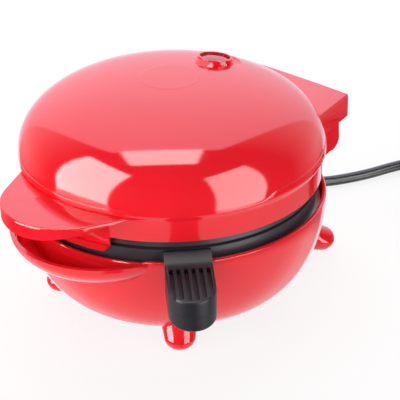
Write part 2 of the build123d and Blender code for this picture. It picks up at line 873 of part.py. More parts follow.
with BuildPart() as lid_frame:
    with BuildSketch(upright()):
        Polygon(
            (lid_rim_radius, lid_rim_z),
            (band_radius, crease_z),
            (collar_radius, crease_z),
            (collar_radius, crease_z + collar_height),
            (collar_radius - wall, crease_z + collar_height),
            (collar_radius - wall, deck_z),
            (band_high_inner, deck_z),
            (band_high_inner, lid_ledge_z + lid_ledge_height),
            (lid_ledge_radius, lid_ledge_z + lid_ledge_height),
            (lid_ledge_radius, lid_ledge_z),
            (band_high_inner, lid_ledge_z),
            (band_low_inner, lid_rim_z),
            align=None,
        )
    revolve(axis=body_axis)
    add(shelf.part)
    add(guard.part)

    add(block.part)
    add(shelf_hollow.part.translate((0, 0, -wall)), mode=Mode.SUBTRACT)
    add(block_hollow.part, mode=Mode.SUBTRACT)

    # lugs for the upper plate's screws and for the cover's screws
    with BuildSketch(level(lid_ledge_z)):
        with PolarLocations(lid_ledge_radius, len(lug_angles), start_angle=lug_angles[0]):
            Rectangle(2 * (lid_ledge_radius - lug_start), lug_width)
        Circle(band_low_inner, mode=Mode.INTERSECT)
    extrude(amount=lid_ledge_height)
    with BuildSketch(level(deck_z)):
        with PolarLocations(band_high_inner, len(cover_lug_angles), start_angle=cover_lug_angles[0]):
            Rectangle(2 * (band_high_inner - lug_start), cover_lug_width)
        Circle(band_high_inner + slip, mode=Mode.INTERSECT)
    extrude(amount=deck_thickness)
    with BuildSketch(level(lid_ledge_z)):
        with Locations(pan_screw_spots):
            Circle(screw_radius + slip)
    extrude(amount=lid_ledge_height, mode=Mode.SUBTRACT)
    with BuildSketch(level(deck_z)):
        with Locations(cover_lug_spots):
            Circle(screw_radius + slip)
    extrude(amount=deck_thickness, mode=Mode.SUBTRACT)

    # way for the leads into the hinge block
    with BuildSketch(level(crease_z)):
        with Locations((0, collar_radius)):
            Rectangle(lead_way, 4 * wall)
    extrude(amount=block_inner_z - crease_z, mode=Mode.SUBTRACT)

    # ears that hang from the block and turn on the pins
    for side in (-1, 1):
        with BuildSketch(side_plane(side * (housing_half + ear_gap))):
            with Locations((pin_y, (pin_z + block_inner_z) / 2)):
                Rectangle(2 * ear_radius, block_inner_z - pin_z + slip)
            with Locations((pin_y, pin_z)):
                Circle(ear_radius)
                Circle(pin_radius + running, mode=Mode.SUBTRACT)
        extrude(amount=side * ear_thickness)
finish(lid_frame.part, "lid_frame")


# Lid cover: the dome, its lamp ring and its screw bosses


def dome_solid(inset):
    """The dome's form: a full, nearly elliptical curve turned about the axis, drawn in by this much."""
    radius = dome_radius - inset
    height = dome_height - inset
    steps = 10
    turns = [radians(90 * step / steps) for step in range(steps + 1)]
    curve_points = [
        (radius * cos(turn) ** (2 / dome_fullness), crease_z + height * sin(turn) ** (2 / dome_fullness))
        for turn in turns
    ]
    curve_points[-1] = (0, crease_z + height)
    with BuildPart() as form:
        with BuildSketch(upright()):
            with BuildLine():
                curve = Spline(*curve_points, tangents=[(0, 1), (-1, 0)])
                Polyline(curve @ 1, (0, crease_z), curve @ 0)
            make_face()
        revolve(axis=body_axis)
    return form.part


with BuildPart() as cover_bosses:
    with BuildSketch(level(crease_z)):
        with Locations(cover_lug_spots):
            Circle(cover_lug_width / 2)
    extrude(amount=dome_height)
    add(dome_solid(wall / 2), mode=Mode.INTERSECT)

with BuildPart() as lamp_ring:
    with BuildSketch(upright(forward=lamp_y)):
        with BuildLine():
            lip = Line((0, lamp_ring_z), (lamp_ring_radius - lens_recess, lamp_ring_z))
            bead = RadiusArc(lip @ 1, (lamp_ring_radius, lamp_ring_z - lens_recess), lens_recess)
            flare = TangentArc(bead @ 1, lamp_ring_foot, tangent=(0, -1))
            Polyline(flare @ 1, (lamp_ring_foot[0], crease_z + dome_height / 2), (0, crease_z + dome_height / 2), lip @ 0)
        make_face()
    revolve(axis=Axis(at(0, lamp_y, 0), (0, 0, 1)))

with BuildPart() as lid_cover:
    add(dome_solid(0))
    add(lamp_ring.part)
    add(dome_solid(wall), mode=Mode.SUBTRACT)
    add(cover_bosses.part)
    with BuildSketch(level(crease_z)):
        Circle(dome_radius + wall)
        with Locations(cover_lug_spots):
            Circle(cover_lug_width / 2, mode=Mode.SUBTRACT)
    extrude(amount=crease_gap, mode=Mode.SUBTRACT)
    with BuildSketch(upright()):
        Polygon(
            (dome_radius - crease_gap, crease_z + crease_gap),
            (dome_radius + crease_gap, crease_z + crease_gap),
            (dome_radius + crease_gap, crease_z + 3 * crease_gap),
            align=None,
        )
    revolve(axis=body_axis, mode=Mode.SUBTRACT)
    add(block_solid(-loose, crease_z - wall, block_top_z + loose), mode=Mode.SUBTRACT)
    with BuildSketch(level(crease_z)):
        with Locations(cover_lug_spots):
            Circle(screw_radius + running)
    extrude(amount=screw_length, mode=Mode.SUBTRACT)
    with BuildSketch(level(lens_seat_z)):
        with Locations((0, lamp_y)):
            Circle(lens_radius + slip)
    extrude(amount=lamp_ring_z - lens_seat_z, mode=Mode.SUBTRACT)
    with BuildSketch(level(crease_z + dome_height / 2)):
        with Locations((0, lamp_y)):
            Circle(lens_hole)
    extrude(amount=dome_height, mode=Mode.SUBTRACT)
finish(lid_cover.part, "lid_cover")

lid_screws = screw_set(cover_lug_spots, deck_z, screw_length, pointing=1)
finish(lid_screws, "lid_screws")

holder_radius = neon_radius + holder_wall
lens_top = lamp_ring_z - lens_recess
crown_radius = (lens_radius**2 + lens_crown**2) / (2 * lens_crown)
crown_angle = degrees(asin(lens_radius / crown_radius))
neon_seat_z = lens_seat_z - lens_recess

with BuildPart() as lamp_lens:
    with BuildSketch(upright(forward=lamp_y)):
        with BuildLine():
            crown = CenterArc(
                (0, lens_top + lens_crown - crown_radius), crown_radius, 90 - crown_angle, crown_angle
            )
            Polyline(
                crown @ 1,
                (0, neon_seat_z),
                (neon_radius + running, neon_seat_z),
                (neon_radius + running, lens_seat_z - holder_depth),
                (holder_radius, lens_seat_z - holder_depth),
                (holder_radius, lens_seat_z),
                (lens_radius, lens_seat_z),
                crown @ 0,
            )
        make_face()
    revolve(axis=Axis(at(0, lamp_y, 0), (0, 0, 1)))
finish(lamp_lens.part, "lamp_lens")

with BuildPart() as neon_lamp:
    with BuildSketch(level(neon_seat_z)):
        with Locations((0, lamp_y)):
            Circle(neon_radius)
    extrude(amount=-neon_length)
    fillet(neon_lamp.edges().group_by(Axis.Z)[-1], radius=neon_radius / 2)
finish(neon_lamp.part, "neon_lamp")

high_leg_z = upper_cup_z + element_radius + element_bend + element_leg
neon_foot_z = neon_seat_z - neon_length
way_z = (crease_z + block_inner_z) / 2

with BuildPart() as lid_leads:
    add(
        lead_solid(
            at(element_leg_x, element_leg_y, high_leg_z),
            at(element_leg_x, element_leg_y, high_leg_z + 2 * lead_bend),
            at(0, lamp_y, neon_foot_z - 2 * lead_bend),
            at(0, lamp_y, neon_foot_z),
        )
    )
    add(
        lead_solid(
            at(-element_leg_x, element_leg_y, high_leg_z),
            at(-element_leg_x, element_leg_y, high_leg_z + 2 * lead_bend),
            at(-element_leg_x / 2, pan_radius + 2 * lead_bend, high_leg_z),
            at(-element_leg_x / 2, pan_radius + 2 * lead_bend, way_z),
            at(-element_leg_x / 2, pin_y - lead_bend, way_z),
        )
    )
finish(lid_leads.part, "lid_leads")


# Grip: two ribbed halves on a steel hook that reaches into the lower plate's skirt


def seam_z(out):
    return grip_seam_z - grip_seam_slope * (out - grip_start)


def rib_z(out):
    """Bottom of the grooves between the ribs, sloping with the top of the grip."""
    fall = (grip_top_z - grip_front_z) / (grip_end - grip_start)
    return grip_top_z - fall * (out - grip_start) - rib_groove_depth


grip_tip = grip_end - grip_half
half_seam = slip / 2


def grip_plan():
    """Outline of the grip from above, straight sides and a round end."""
    with BuildSketch(along_grip(bottom_z)) as plan:
        with Locations(((hook_tip + grip_tip) / 2, 0)):
            Rectangle(grip_tip - hook_tip, 2 * grip_half)
        with Locations((grip_tip, 0)):
            Circle(grip_half)
    return plan.sketch


def hook_solid(thickness, half_width, end):
    """The bent steel strip, or the slot for it."""
    with BuildPart() as strip:
        with BuildSketch(upright(grip_angle)):
            with BuildLine():
                bend = FilletPolyline(
                    (hook_tip, hook_z),
                    (hook_knee, hook_z),
                    (hook_heel, seam_z(hook_heel)),
                    (end, seam_z(end)),
                    radius=hook_bend,
                )
            trace(bend, line_width=thickness)
        extrude(amount=half_width, both=True)
    return strip.part


hook_slot = hook_solid(hook_sheet + slip, hook_half + slip, hook_end + slip)

with BuildPart() as grip_top:
    with BuildSketch(upright(grip_angle)):
        Polygon(
            (lip_start, lip_top[1] - loose),
            lip_top,
            lip_toe,
            (grip_start, grip_top_z),
            (grip_end, grip_front_z),
            (grip_end, seam_z(grip_end) + half_seam),
            (grip_start, grip_seam_z + half_seam),
            (grip_start, lip_under_z),
            (lip_start, lip_under_z),
            align=None,
        )
    extrude(amount=grip_half, both=True)
    add(grip_plan())
    extrude(amount=base_rim_z, mode=Mode.INTERSECT)
    slope_face = grip_top.faces().filter_by(lambda f: f.normal_at().Z > 0.9).sort_by(SortBy.AREA)[-1]
    fillet(slope_face.edges().sort_by_distance(at(grip_end * grip_out[0], grip_end * grip_out[1], grip_front_z))[0:3], radius=grip_edge)
    with BuildPart(mode=Mode.PRIVATE) as rib_grooves:
        with BuildSketch(upright(grip_angle)):
            Polygon(
                (rib_groove_start, rib_z(rib_groove_start)),
                (rib_groove_end, rib_z(rib_groove_end)),
                (rib_groove_end, grip_top_z),
                (rib_groove_start, grip_top_z + rib_groove_depth),
                align=None,
            )
        extrude(amount=grip_half, both=True)
        with BuildSketch(along_grip(bottom_z)):
            with Locations(((rib_groove_start + rib_groove_end) / 2, 0)):
                with GridLocations(1, rib_groove_pitch, 1, rib_groove_count):
                    SlotOverall(rib_groove_end - rib_groove_start, rib_groove_width)
        extrude(amount=base_rim_z, mode=Mode.INTERSECT)
    add(rib_grooves.part, mode=Mode.SUBTRACT)
    add(hook_slot, mode=Mode.SUBTRACT)
    for out in grip_screw_places:
        with BuildSketch(along_grip(seam_z(out) - grip_lower / 2)):
            with Locations((out, 0)):
                Circle(screw_radius + running)
        extrude(amount=screw_length, mode=Mode.SUBTRACT)
finish(grip_top.part, "grip_top")

with BuildPart() as grip_bottom:
    with BuildSketch(upright(grip_angle)):
        Polygon(
            (grip_start, grip_seam_z - half_seam),
            (grip_end, seam_z(grip_end) - half_seam),
            (grip_end, seam_z(grip_end) - grip_lower),
            (grip_start, grip_seam_z - grip_lower),
            align=None,
        )
    extrude(amount=grip_half, both=True)
    add(grip_plan())
    extrude(amount=base_rim_z, mode=Mode.INTERSECT)
    under = grip_bottom.faces().filter_by(lambda f: f.normal_at().Z < -0.9).sort_by(SortBy.AREA)[-1]
    fillet(under.edges().sort_by_distance(at(grip_end * grip_out[0], grip_end * grip_out[1], 0))[0:3], radius=grip_edge)
    add(hook_slot, mode=Mode.SUBTRACT)
    for out in grip_screw_places:
        with BuildSketch(along_grip(0)):
            with Locations((out, 0)):
                Circle(screw_radius + slip)
        extrude(amount=base_rim_z, mode=Mode.SUBTRACT)
        with BuildSketch(along_grip(0)):
            with Locations((out, 0)):
                Circle(screw_head_radius + slip)
        extrude(amount=seam_z(out) - grip_lower / 2, mode=Mode.SUBTRACT)
finish(grip_bottom.part, "grip_bottom")

with BuildPart() as grip_hook:
    add(hook_solid(hook_sheet, hook_half, hook_end))
    for out in grip_screw_places:
        with BuildSketch(along_grip(0)):
            with Locations((out, 0)):
                Circle(screw_radius + slip)
        extrude(amount=base_rim_z, mode=Mode.SUBTRACT)
finish(grip_hook.part, "grip_hook")

grip_screw_spots = [(out * grip_out[0], out * grip_out[1]) for out in grip_screw_places]
with BuildPart() as grip_screws:
    for out, spot in zip(grip_screw_places, grip_screw_spots):
        add(screw_set([spot], seam_z(out) - grip_lower / 2, screw_length, pointing=1))
finish(grip_screws.part, "grip_screws")

# Strain relief, cord, its put-away coil, tie and plug
with BuildPart() as strain_relief:
    with BuildSketch(side_plane(cord_x)):
        with BuildLine():
            Polyline(
                (relief_neck_y - relief_flange, cord_z + cord_radius + running),
                (relief_neck_y - relief_flange, cord_z + relief_lock_radius),
                (relief_neck_y, cord_z + relief_lock_radius),
                (relief_neck_y, cord_z + relief_neck_radius),
                (relief_seat_y, cord_z + relief_neck_radius),
                (relief_seat_y, cord_z + relief_flange_radius),
                (relief_seat_y + relief_flange, cord_z + relief_flange_radius),
                (relief_seat_y + relief_flange, cord_z + relief_root_radius),
                (relief_boot_y, cord_z + relief_tip_radius),
                (relief_boot_y, cord_z + cord_radius + running),
                close=True,
            )
        make_face()
        boot = relief_boot_y - relief_seat_y - relief_flange
        groove = boot / (2 * relief_ring_count + 1)
        for ring in range(relief_ring_count):
            with Locations((relief_seat_y + relief_flange + (2 * ring + 1.5) * groove, cord_z + relief_root_radius)):
                Rectangle(groove, 2 * (relief_root_radius - cord_radius - sheet), mode=Mode.SUBTRACT)
    revolve(axis=Axis(at(cord_x, 0, cord_z), (0, 1, 0)))
finish(strain_relief.part, "strain_relief")

floor_z = cord_radius + floor_gap
coil_heading = Vector(cos(radians(64)), sin(radians(64)), 0)
route = [
    at(*mains_end),
    at(cord_x, relief_neck_y - relief_run, cord_z),
    at(cord_x, 122.0, cord_z),
    at(-18.5, 151.0, floor_z),
    at(0.5, 182.0, floor_z),
    at(11.4, 212.1, coil_z),
]
route.append(route[-1] + coil_heading * 31)


def corner_radii(points):
    """For each corner, 0.45 of its shorter run over the tangent of half its turn."""
    radii = []
    for before, corner, after in zip(points, points[1:], points[2:]):
        come = corner - before
        leave = after - corner
        turn = radians(come.get_angle(leave))
        radii.append(0.45 * min(come.length, leave.length) / tan(turn / 2))
    return radii


def tube(path, radius):
    with BuildPart() as solid:
        with BuildSketch(Plane(origin=path @ 0, z_dir=path % 0)):
            Circle(radius)
        sweep(path=path)
    return solid.part


bends = corner_radii(route)
with BuildLine() as cord_path:
    FilletPolyline(*route, radius=bends)
power_cord = tube(cord_path.wire(), cord_radius)
print("cord bends", [round(bend, 1) for bend in bends], "length", round(cord_path.wire().length, 1))
print("cord volume ratio", round(power_cord.volume / (pi * cord_radius**2 * cord_path.wire().length), 4))
finish(power_cord, "power_cord")

# The coil: one turn in on the floor, up a layer over half a turn, one turn out on top
lean = atan(coil_pitch / (2 * pi * coil_radius))
coil_side = coil_heading.rotate(Axis.Z, 90 + degrees(lean))
coil_first = route[-1] + coil_heading * 2 * cord_radius
coil_center = coil_first - coil_side * coil_radius
coil_center.Z = 0
coil_start_angle = atan2(coil_side.Y, coil_side.X)


def coil_place(turn):
    """Point of the coil after this many turns, clockwise from above."""
    if turn <= 1.25:
        radius = coil_radius - coil_pitch * turn
    else:
        radius = coil_radius - coil_pitch * (2.5 - turn)
    climb = min(max((turn - 1) * 2, 0), 1)
    height = coil_z + coil_pitch * climb * climb * (3 - 2 * climb)
    angle = coil_start_angle - 2 * pi * turn
    return coil_center + Vector(radius * cos(angle), radius * sin(angle), height)


def coil_heading_at(turn):
    """Direction of the coil there, the mean of its two sides, along the spiral at both ends."""
    step = 0.001
    if turn == 0:
        return coil_heading
    return (coil_place(turn + step) - coil_place(turn - step)).normalized()


def biarc(start, start_heading, end, end_heading):
    """Two tangent arcs from start to end, each leaving and arriving along the given headings."""
    chord = end - start
    both = start_heading + end_heading
    slack = 2 * (1 - start_heading.dot(end_heading))
    reach = (-chord.dot(both) + sqrt(chord.dot(both) ** 2 + slack * chord.dot(chord))) / slack
    middle = (start + end + (start_heading - end_heading) * reach) * 0.5
    first = TangentArc(start, middle, tangent=start_heading)
    TangentArc(middle, end, tangent=first % 1)


turns = [quarter / 4 for quarter in range(11)]
places = [coil_place(turn) for turn in turns]
headings = [coil_heading_at(turn) for turn in turns]
headings[-1] = Vector(headings[-1].X, headings[-1].Y, 0).normalized()
with BuildLine() as coil_path:
    Line(route[-1], coil_first)
    for start, start_heading, end, end_heading in zip(places, headings, places[1:], headings[1:]):
        biarc(start, start_heading, end, end_heading)
    Line(places[-1], places[-1] + headings[-1] * 2 * cord_radius)
coil_wire = coil_path.wire()
cord_coil = tube(coil_wire, cord_radius)
coil_tail = places[-1] + headings[-1] * 2 * cord_radius

samples = [coil_wire @ (step / 600) for step in range(601)]
stride = coil_wire.length / 600
least = min(
    (samples[i] - samples[j]).length
    for i in range(601)
    for j in range(i + int(6 * cord_radius / stride), 601)
)
print("coil length", round(coil_wire.length, 1), "least gap to itself", round(least - 2 * cord_radius, 2))
print("coil volume ratio", round(cord_coil.volume / (pi * cord_radius**2 * coil_wire.length), 4))
finish(cord_coil, "cord_coil")

# Plug: moulded body with two round pins, lying on the floor; the cord runs into its neck
tail_heading = headings[-1]
plug_back = coil_tail + tail_heading * plug_tail
plug_plane = Plane(origin=plug_back, x_dir=(tail_heading.Y, -tail_heading.X, 0), z_dir=tail_heading)
with BuildPart() as plug:
    with BuildSketch(plug_plane.offset(-plug_tail)):
        Circle(cord_radius)
    extrude(amount=plug_tail)
    with BuildSketch(plug_plane):
        Circle(plug_neck_radius)
    with BuildSketch(plug_plane.offset(plug_length - plug_face)):
        RectangleRounded(plug_width, plug_height, plug_height / 2 - slip)
    loft()
    with BuildSketch(plug_plane.offset(plug_length - plug_face)):
        RectangleRounded(plug_width, plug_height, plug_height / 2 - slip)
    extrude(amount=plug_face)
    chamfer(plug.faces().sort_by_distance(plug_plane.offset(plug_length).origin)[0].edges(), length=plug_face / 8)
    with BuildSketch(plug_plane.offset(plug_length)):
        with Locations((-plug_pin_pitch / 2, 0), (plug_pin_pitch / 2, 0)):
            Circle(plug_pin_radius)
    extrude(amount=plug_pin_length)
finish(plug.part, "plug")

# Tie: a thin band round the two strands that lie on each other
tie_turn = 0.75
tie_low = coil_place(tie_turn)
tie_high = coil_place(tie_turn + 1)
tie_heading = coil_heading_at(tie_turn)
tie_plane = Plane(
    origin=(tie_low + tie_high) * 0.5 - tie_heading * tie_width / 2,
    x_dir=(tie_heading.Y, -tie_heading.X, 0),
    z_dir=tie_heading,
)
tie_inner = 2 * (cord_radius + tie_gap)
with BuildPart() as cord_tie:
    with BuildSketch(tie_plane):
        RectangleRounded(tie_inner + 2 * tie_sheet, tie_inner + coil_pitch + 2 * tie_sheet, cord_radius + tie_sheet)
        RectangleRounded(tie_inner, tie_inner + coil_pitch, cord_radius, mode=Mode.SUBTRACT)
    extrude(amount=tie_width)
print("tie lowest", round(cord_tie.part.bounding_box().min.Z, 2), "plug lowest", round(plug.part.bounding_box().min.Z, 2))
finish(cord_tie.part, "cord_tie")
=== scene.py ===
import json
import math

import bmesh
import bpy
from bpy.props import FloatProperty, FloatVectorProperty, PointerProperty
from mathutils import Matrix, Vector


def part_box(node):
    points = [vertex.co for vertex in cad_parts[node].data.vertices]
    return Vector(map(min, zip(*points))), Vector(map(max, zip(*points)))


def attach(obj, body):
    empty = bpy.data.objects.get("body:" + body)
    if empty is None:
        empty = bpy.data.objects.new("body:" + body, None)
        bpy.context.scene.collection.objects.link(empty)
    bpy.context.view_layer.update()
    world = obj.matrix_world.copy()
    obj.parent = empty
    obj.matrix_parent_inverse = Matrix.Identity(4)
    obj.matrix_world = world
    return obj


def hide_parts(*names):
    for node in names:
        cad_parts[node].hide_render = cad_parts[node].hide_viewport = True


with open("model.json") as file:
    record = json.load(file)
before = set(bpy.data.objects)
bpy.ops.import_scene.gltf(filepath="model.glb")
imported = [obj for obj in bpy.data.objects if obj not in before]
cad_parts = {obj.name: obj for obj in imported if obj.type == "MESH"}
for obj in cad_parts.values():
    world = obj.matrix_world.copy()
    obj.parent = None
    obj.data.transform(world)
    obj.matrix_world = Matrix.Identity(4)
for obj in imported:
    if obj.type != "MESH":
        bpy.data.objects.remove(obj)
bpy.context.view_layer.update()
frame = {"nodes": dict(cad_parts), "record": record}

bl_info = {
    "name": "Electric cake maker dresser",
    "version": (1, 0, 0),
    "blender": (4, 5, 0),
    "location": "3D View > Sidebar > Cake Maker",
    "description": "Finishes the cake maker's parts and sets up its studio",
    "category": "Object",
}


# Places taken from the frame

def middle(node):
    low, high = (Vector(corner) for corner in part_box(node))
    return (low + high) / 2


AXIS = Vector((middle("bottom_cover").x, middle("bottom_cover").y, 0))

# Lengths repeated from the part's source, in millimetres, with places given from the body's axis
CREASE = 94.4
DOME_RADIUS = 90.0
DOME_HEIGHT = 44.4
DOME_FULLNESS = 2.34
BAND_LOW = (88.0, 79.2)
BAND_HIGH = (88.9, 94.4)
BOWL_FLAT = 55.0
BOWL_RADIUS = 91.0
BOWL_LOW = 8.0
BOWL_RIM = 67.3
PLATE_JOINT = 73.25
LAMP_Y = 38.6
LAMP_FOOT = 15.5
LAMP_RING = 10.4
PIN_PLACE = (99.0, 75.0)
PIN_BORE = 2.54
EAR_FACE = 41.0
BLOCK_LOW = 86.8
VENTS = (-13.0, 0.0, 13.0)
VENT_HEIGHT = 25.0
VENT_LENGTH = 10.0
VENT_WIDTH = 3.0
GRIP_ANGLE = -41.4
GRIP_START = (94.0, 69.0)
GRIP_FRONT = (125.0, 62.2)
GRIP_HALF = 13.2


def body_of_node(node):
    for body, nodes in frame["record"]["behaviour"]["bodies"].items():
        if node in nodes:
            return body
    raise ValueError(f"no body holds {node}")


def slot_of_node(node):
    for entry in frame["record"]["subparts"]:
        if entry["node"] == node:
            return entry["material_slot"]
    raise ValueError(f"no slot for {node}")


# Settings that a user would change

def colour(name, description, value):
    return FloatVectorProperty(
        name=name, description=description, subtype="COLOR", size=3, min=0, max=1, default=value,
    )


def metres(name, description, value):
    return FloatProperty(
        name=name, description=description, unit="LENGTH", subtype="DISTANCE", precision=4, default=value,
    )


def degrees(name, description, value):
    return FloatProperty(
        name=name, description=description, unit="ROTATION", subtype="ANGLE", default=math.radians(value),
    )


class ShellSettings(bpy.types.PropertyGroup):
    red: colour("Red", "Colour of the glossy housings", (0.80, 0.012, 0.022))
    smooth: degrees("Smooth Below", "Edges turned less than this shade smooth", 30)


class PlateSettings(bpy.types.PropertyGroup):
    coating: colour("Coating", "Colour of the non-stick coating", (0.044, 0.042, 0.049))
    metal: colour("Sheet Metal", "Colour of the heat shield pans", (0.62, 0.62, 0.63))
    element: colour("Element", "Colour of the heating elements", (0.20, 0.19, 0.18))


class GripSettings(bpy.types.PropertyGroup):
    black: colour("Black", "Colour of the grip, the plug and the pads", (0.016, 0.0145, 0.0175))


class LampSettings(bpy.types.PropertyGroup):
    lens: colour("Lens", "Colour of the pilot lamp's lens", (0.45, 0.010, 0.030))


class CordSettings(bpy.types.PropertyGroup):
    black: colour("Black", "Colour of the cord", (0.012, 0.012, 0.013))
    diameter: metres("Diameter", "Thickness of the cord", 0.007)


class StageSettings(bpy.types.PropertyGroup):
    floor: colour("Floor", "Colour of the floor", (0.9, 0.9, 0.9))
    side: degrees("Camera Side", "Direction of the camera round the object, from the front handle", 43.06)
    rise: degrees("Camera Rise", "Height of the camera above the horizon", 27.935)
    roll: degrees("Camera Roll", "Turn of the camera about its own axis", -1.033)
    distance: metres("Camera Distance", "From the camera to its target", 0.990)
    aim_right: metres("Aim Right", "Target to the right of the body's axis, seen from the camera", 0.0159)
    aim_high: metres("Aim High", "Height of the target above the floor", 0.0582)
    lens: FloatProperty(name="Lens", description="Focal length", unit="CAMERA", default=149.3)


def settings(name):
    return getattr(bpy.context.scene, name)


# Shader nodes

def feed(tree, socket, value):
    """Give a socket a value of its own, or link another socket to it."""
    if isinstance(value, bpy.types.NodeSocket):
        tree.links.new(value, socket)
    else:
        socket.default_value = value


def calculate(tree, operation, *values, clamp=False):
    """A maths node on sockets or numbers; gives its result socket."""
    node = tree.nodes.new("ShaderNodeMath")
    node.operation = operation
    node.use_clamp = clamp
    for socket, value in zip(node.inputs, values):
        feed(tree, socket, value)
    return node.outputs[0]


def along(tree, direction, axis):
    """How far a direction runs along an axis."""
    node = tree.nodes.new("ShaderNodeVectorMath")
    node.operation = "DOT_PRODUCT"
    feed(tree, node.inputs[0], direction)
    feed(tree, node.inputs[1], axis)
    return node.outputs["Value"]


def span(tree, value, low, high, first, last):
    """A value's place between two limits, as a number that runs from first to last."""
    node = tree.nodes.new("ShaderNodeMapRange")
    feeds = {"Value": value, "From Min": low, "From Max": high, "To Min": first, "To Max": last}
    for label, limit in feeds.items():
        feed(tree, node.inputs[label], limit)
    return node.outputs["Result"]


def mix(tree, kind, factor, first, second):
    """A blend of two numbers or two colours."""
    node = tree.nodes.new("ShaderNodeMix")
    node.data_type = kind
    for label, value in (("Factor", factor), ("A", first), ("B", second)):
        feed(tree, node.inputs[label], value)
    return node.outputs["Result"]


def noise(tree, scale, detail):
    """Noise on the piece's own coordinates."""
    node = tree.nodes.new("ShaderNodeTexNoise")
    place = tree.nodes.new("ShaderNodeTexCoord")
    feed(tree, node.inputs["Vector"], place.outputs["Object"])
    feed(tree, node.inputs["Scale"], scale)
    feed(tree, node.inputs["Detail"], detail)
    return node.outputs["Fac"]


# Shader groups used by several finishes

def new_group(name, inputs, outputs):
    group = bpy.data.node_groups.new(name, "ShaderNodeTree")
    for label, kind, value in inputs:
        socket = group.interface.new_socket(label, in_out="INPUT", socket_type=kind)
        socket.default_value = value
    for label, kind in outputs:
        group.interface.new_socket(label, in_out="OUTPUT", socket_type=kind)
    return group, group.nodes.new("NodeGroupInput"), group.nodes.new("NodeGroupOutput")


def place_group(tree, group, values):
    node = tree.nodes.new("ShaderNodeGroup")
    node.node_tree = group
    for label, value in values.items():
        feed(tree, node.inputs[label], value)
    return node


def grain_group():
    """Fine noise for moulded, cast and pressed surfaces: a roughness value and a bumped normal."""
    name = "surface_grain"
    if name in bpy.data.node_groups:
        return bpy.data.node_groups[name]
    group, entry, out = new_group(
        name,
        [
            ("Scale", "NodeSocketFloat", 900.0),
            ("Roughness", "NodeSocketFloat", 0.4),
            ("Spread", "NodeSocketFloat", 0.08),
            ("Bump", "NodeSocketFloat", 0.1),
            ("Depth", "NodeSocketFloat", 0.00003),
        ],
        [("Roughness", "NodeSocketFloat"), ("Normal", "NodeSocketVector")],
    )
    cloud = calculate(group, "SUBTRACT", noise(group, scale=45, detail=2), 0.5)
    rough = calculate(group, "MULTIPLY_ADD", cloud, entry.outputs["Spread"], entry.outputs["Roughness"])
    bump = group.nodes.new("ShaderNodeBump")
    feed(group, bump.inputs["Height"], noise(group, scale=entry.outputs["Scale"], detail=3))
    feed(group, bump.inputs["Strength"], entry.outputs["Bump"])
    feed(group, bump.inputs["Distance"], entry.outputs["Depth"])
    feed(group, out.inputs["Roughness"], rough)
    feed(group, out.inputs["Normal"], bump.outputs["Normal"])
    return group


def tint_group():
    """Slow variation of a colour over a surface, as moulded plastic and coated metal have."""
    name = "surface_tint"
    if name in bpy.data.node_groups:
        return bpy.data.node_groups[name]
    group, entry, out = new_group(
        name,
        [
            ("Color", "NodeSocketColor", (0.5, 0.5, 0.5, 1)),
            ("Darker", "NodeSocketFloat", 0.9),
            ("Scale", "NodeSocketFloat", 20.0),
        ],
        [("Color", "NodeSocketColor")],
    )
    cloud = noise(group, scale=entry.outputs["Scale"], detail=2)
    shaded = group.nodes.new("ShaderNodeVectorMath")
    shaded.operation = "SCALE"
    feed(group, shaded.inputs[0], entry.outputs["Color"])
    feed(group, shaded.inputs["Scale"], span(group, cloud, 0.3, 0.7, entry.outputs["Darker"], 1))
    feed(group, out.inputs["Color"], shaded.outputs["Vector"])
    return group


# Finishes

def finish_of(name, base, roughness, spread=0.05, grain=900.0, bump=0.1, darker=0.95, **fixed):
    """A material with a tinted colour and a grained surface; fixed names constant shader sockets."""
    if name in bpy.data.materials:
        return bpy.data.materials[name]
    material = bpy.data.materials.new(name)
    material.use_nodes = True
    tree = material.node_tree
    shader = tree.nodes["Principled BSDF"]
    tinted = place_group(tree, tint_group(), {"Color": (*base, 1), "Darker": darker})
    feed(tree, shader.inputs["Base Color"], tinted.outputs["Color"])
    surface = {"Scale": grain, "Roughness": roughness, "Spread": spread, "Bump": bump}
    grained = place_group(tree, grain_group(), surface)
    for label in ("Roughness", "Normal"):
        feed(tree, shader.inputs[label], grained.outputs[label])
    for label, value in fixed.items():
        shader.inputs[label.replace("_", " ")].default_value = value
    return material


def red_gloss():
    return finish_of(
        "red_gloss", settings("cake_shell").red, 0.09, spread=0.02, bump=0.02, grain=300, IOR=1.5,
    )


def black_coating():
    return finish_of(
        "black_coating", settings("cake_plate").coating, 0.34, spread=0.1, bump=0.25, grain=1500, darker=0.8,
    )


def pan_sheet():
    return finish_of(
        "pan_sheet", settings("cake_plate").metal, 0.32, spread=0.1, grain=600, Metallic=1.0,
    )


def element_sheath():
    return finish_of(
        "element_sheath", settings("cake_plate").element, 0.5, spread=0.15, grain=700, darker=0.7,
        Metallic=1.0,
    )


def bright_steel():
    return finish_of("bright_steel", (0.55, 0.55, 0.56), 0.25, spread=0.1, grain=800, Metallic=1.0)


def black_satin():
    return finish_of(
        "black_satin", settings("cake_grip").black, 0.36, spread=0.08, grain=1800, bump=0.3, darker=0.85,
        Specular_IOR_Level=0.22,
    )


def black_rubber():
    return finish_of(
        "black_rubber", settings("cake_grip").black, 0.6, spread=0.1, grain=1200, bump=0.3, darker=0.8,
    )


def cord_sheath():
    return finish_of(
        "cord_sheath", settings("cake_cord").black, 0.3, spread=0.06, grain=900, bump=0.1, darker=0.85,
    )


def white_ceramic():
    return finish_of("white_ceramic", (0.78, 0.76, 0.7), 0.5, spread=0.1, grain=500)


def lamp_lens_red():
    return finish_of(
        "lamp_lens_red", settings("cake_lamp").lens, 0.08, spread=0.02, grain=200, bump=0.02,
        Transmission_Weight=0.35, IOR=1.49,
    )


def lamp_glass():
    return finish_of(
        "lamp_glass", (0.95, 0.85, 0.78), 0.03, spread=0.01, bump=0.02, Transmission_Weight=0.9, IOR=1.47,
    )


